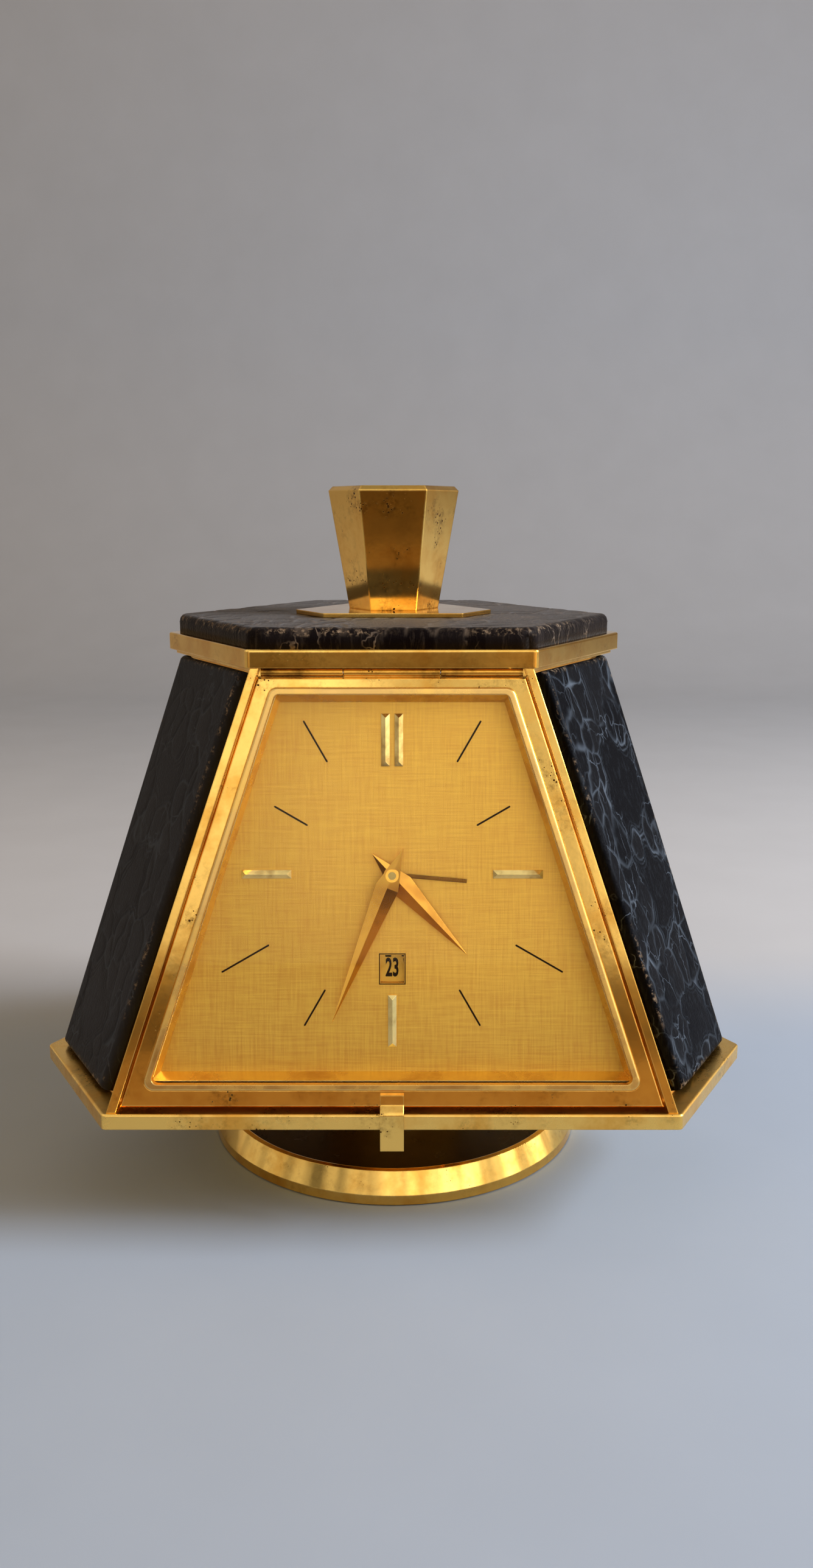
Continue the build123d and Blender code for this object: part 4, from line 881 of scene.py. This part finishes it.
class CLOCK_OT_gilt(bpy.types.Operator):
    """Gold-plated plates, frames, knob, foot, hands and hour bars"""
    bl_idname = "clock.gilt"
    bl_label = "Gild the metalwork"

    def execute(self, context):
        colours = context.scene.clock_colours
        gilt = (colours.gilt, colours.gilt_shade)
        hands = (colours.hands, colours.hands_shade)
        bars = (colours.bars, colours.bars_shade)
        hinge_shade_tones = (colours.gilt_shade, colours.tarnish)
        # Each finish: its bright and clouded tone, roughness, pitting, edge radius in mm, and its nodes
        finishes = {
            "polished_gilt": (gilt, 0.08, 0.20, 0.3, in_slot("gold_brass")),
            "handled_gilt": (gilt, 0.11, 0.30, 0.3, ("front_frame", "pull_tab")),
            "mottled_gilt": (gilt, 0.12, 0.36, 0.5, ("knob",)),
            "satin_gilt": (gilt, 0.26, 0.30, 0.3, ("bottom_plate",)),
            "stained_gilt": (gilt, 0.10, 0.36, 0.3, ("door_frame",)),
            "fine_gilt": (hands, 0.05, 0.0, 0.06, ("minute_hand", "hour_hand")),
            # The hour bars and the rehaut take the pale bar gold, a painted reflection of bright light
            "crisp_gilt": (bars, 0.05, 0.0, 0.06, ("hour_markers",)),
            "pale_gilt": ((colours.bead, colours.gilt), 0.22, 0.06, 0.3, ("bezel",)),
            "inner_gilt": ((colours.bars, colours.bead), 0.22, 0.06, 0.3, ("rehaut",)),
            # The hinge is painted darker, a painted shade standing in for the shadow in the gap under the top
            # plate
            "aged_gilt": (hinge_shade_tones, 0.16, 0.30, 0.3, ("hinge_fixed", "hinge_moving")),
        }
        for name, (tones, roughness, pitting, edge_mm, nodes) in finishes.items():
            dress(nodes, gilt_brass(name, *tones, colours.tarnish, roughness, pitting, edge_mm))
        return {"FINISHED"}


class CLOCK_OT_movement(bpy.types.Operator):
    """Satin brass of the movement and turned steel of arbors and screws"""
    bl_idname = "clock.movement"
    bl_label = "Finish the movement"

    def execute(self, context):
        colours = context.scene.clock_colours
        dress(in_slot("movement_brass"), satin_brass(colours))
        dress(in_slot("steel"), turned_steel(colours))
        return {"FINISHED"}


class CLOCK_OT_leather(bpy.types.Operator):
    """Leather boards round the case and the leather pad under the knob"""
    bl_idname = "clock.leather"
    bl_label = "Cover with leather"

    def execute(self, context):
        sizes, colours = context.scene.clock_sizes, context.scene.clock_colours
        hide = crocodile_hide("crocodile_hide", colours.hide, colours.vein, colours.rubbed, 0.0)
        # The top is rubbed by hands, and its nap catches light at a slant
        rubbed = crocodile_hide("rubbed_crocodile_hide", colours.pad, colours.scuff, colours.rubbed, 0.16)
        for i, (node, (show, lead)) in enumerate(LEATHER_SIDES.items()):
            step = sizes.near_step if i < NEAR_BOARDS else sizes.far_step
            leather_board(node, hide, sizes, sizes.hide_seed + i, step, show, lead)
        leather_pad(rubbed, sizes, sizes.hide_seed + 20)
        return {"FINISHED"}


class CLOCK_OT_dial(bpy.types.Operator):
    """Linen-brushed dial, its printed hour lines, the border of its date window, and the alarm hand"""
    bl_idname = "clock.dial"
    bl_label = "Print the dial"

    def execute(self, context):
        sizes, colours = context.scene.clock_sizes, context.scene.clock_colours
        tilt = math.asin(-JOINTS["minute_turn"]["axis"][2])
        dress(in_slot("dial_gold"), linen_gilt(colours, tilt, FACE @ Vector(PAINTED_LIGHT_SPOT)))
        clouded = tuple(c * 0.6 for c in colours.enamel)
        browned = gilt_brass("browned_brass", colours.enamel, clouded, clouded, 0.25, 0.0)
        dress(in_slot("black_enamel"), browned)
        level = FACE @ Matrix.Translation((0.0, 0.0, front_of("dial")))
        ink = printed_ink("dial_ink", colours.ink, 0.5, 0.8)
        piece("printed_hour_lines", hour_lines(level, sizes), ink, "door")
        # Dark border round the date window: part printed border, part painted shade at its edge
        dark = printed_ink("border_ink", colours.window, 0.45, 0.8)
        piece("window_border", window_border(level, sizes), dark, "door")
        return {"FINISHED"}


class CLOCK_OT_date(bpy.types.Operator):
    """Date disc and its printed numerals"""
    bl_idname = "clock.date"
    bl_label = "Number the date disc"

    def execute(self, context):
        sizes, colours = context.scene.clock_sizes, context.scene.clock_colours
        clouded = tuple(c * 0.7 for c in colours.disc)
        satin = gilt_brass("satin_disc_gilt", colours.disc, clouded, clouded, 0.35, 0.0)
        dress(in_slot("date_disc"), satin)
        curve = bpy.data.curves.new("numeral", "FONT")
        curve.size = sizes.numeral_height
        curve.align_x = "CENTER"
        curve.align_y = "CENTER"
        curve.extrude = sizes.print_rise
        curve.offset = NUMERAL_WEIGHT
        curve.resolution_u = 3
        holder = bpy.data.objects.new("numeral", curve)
        context.scene.collection.objects.link(holder)
        narrow = Matrix.Diagonal((NUMERAL_NARROWING, 1.0, 1.0, 1.0))
        away = Matrix.Translation((0.0, -NUMERAL_RADIUS, front_of("date_ring")))
        bm = bmesh.new()
        for day in range(1, DAYS + 1):
            curve.body = str(day)
            context.view_layer.update()
            shaped = holder.evaluated_get(context.evaluated_depsgraph_get())
            mesh = bpy.data.meshes.new_from_object(shaped)
            turn = Matrix.Rotation(2 * math.pi * (day - SHOWN_DAY) / DAYS, 4, "Z")
            mesh.transform(FACE @ turn @ away @ narrow)
            bm.from_mesh(mesh)
            bpy.data.meshes.remove(mesh)
        bpy.data.objects.remove(holder)
        bmesh.ops.remove_doubles(bm, verts=bm.verts, dist=1e-7)
        ink = printed_ink("numeral_ink", colours.ink, 0.5, 0.8)
        piece("date_numerals", bm, ink, "date_ring")
        return {"FINISHED"}


class CLOCK_OT_glass(bpy.types.Operator):
    """Flat glass over the dial"""
    bl_idname = "clock.glass"
    bl_label = "Glaze the face"

    def execute(self, context):
        dress(in_slot("glass"), clock_glass(context.scene.clock_colours))
        return {"FINISHED"}


class CLOCK_OT_foot(bpy.types.Operator):
    """Lacquered inlay on the foot and felt under it"""
    bl_idname = "clock.foot"
    bl_label = "Finish the foot"

    def execute(self, context):
        colours = context.scene.clock_colours
        dress(in_slot("dark_inlay"), printed_ink("foot_lacquer", colours.lacquer, 0.25, 6.0))
        dress(in_slot("felt"), wool_felt(colours))
        return {"FINISHED"}


OPERATORS = (CLOCK_OT_stage, CLOCK_OT_gilt, CLOCK_OT_movement, CLOCK_OT_leather, CLOCK_OT_dial,
             CLOCK_OT_date, CLOCK_OT_glass, CLOCK_OT_foot)


class CLOCK_PT_dresser(bpy.types.Panel):
    """The clock's pieces and finishes"""
    bl_idname = "CLOCK_PT_dresser"
    bl_label = "Desk clock"
    bl_space_type = "VIEW_3D"
    bl_region_type = "UI"
    bl_category = "Clock"

    def draw(self, context):
        for kind in OPERATORS:
            self.layout.operator(kind.bl_idname)
        for group in (context.scene.clock_sizes, context.scene.clock_colours):
            box = self.layout.box()
            for key in group.__annotations__:
                box.prop(group, key)


CLASSES = (ClockSizes, ClockColours, *OPERATORS, CLOCK_PT_dresser)


def register():
    for kind in CLASSES:
        bpy.utils.register_class(kind)
    bpy.types.Scene.clock_sizes = PointerProperty(type=ClockSizes)
    bpy.types.Scene.clock_colours = PointerProperty(type=ClockColours)


def unregister():
    del bpy.types.Scene.clock_colours
    del bpy.types.Scene.clock_sizes
    for kind in reversed(CLASSES):
        bpy.utils.unregister_class(kind)


def main():
    register()
    bpy.ops.clock.stage()
    bpy.ops.clock.gilt()
    bpy.ops.clock.movement()
    bpy.ops.clock.leather()
    bpy.ops.clock.dial()
    bpy.ops.clock.date()
    bpy.ops.clock.glass()
    bpy.ops.clock.foot()


if __name__ == "__main__":
    main()
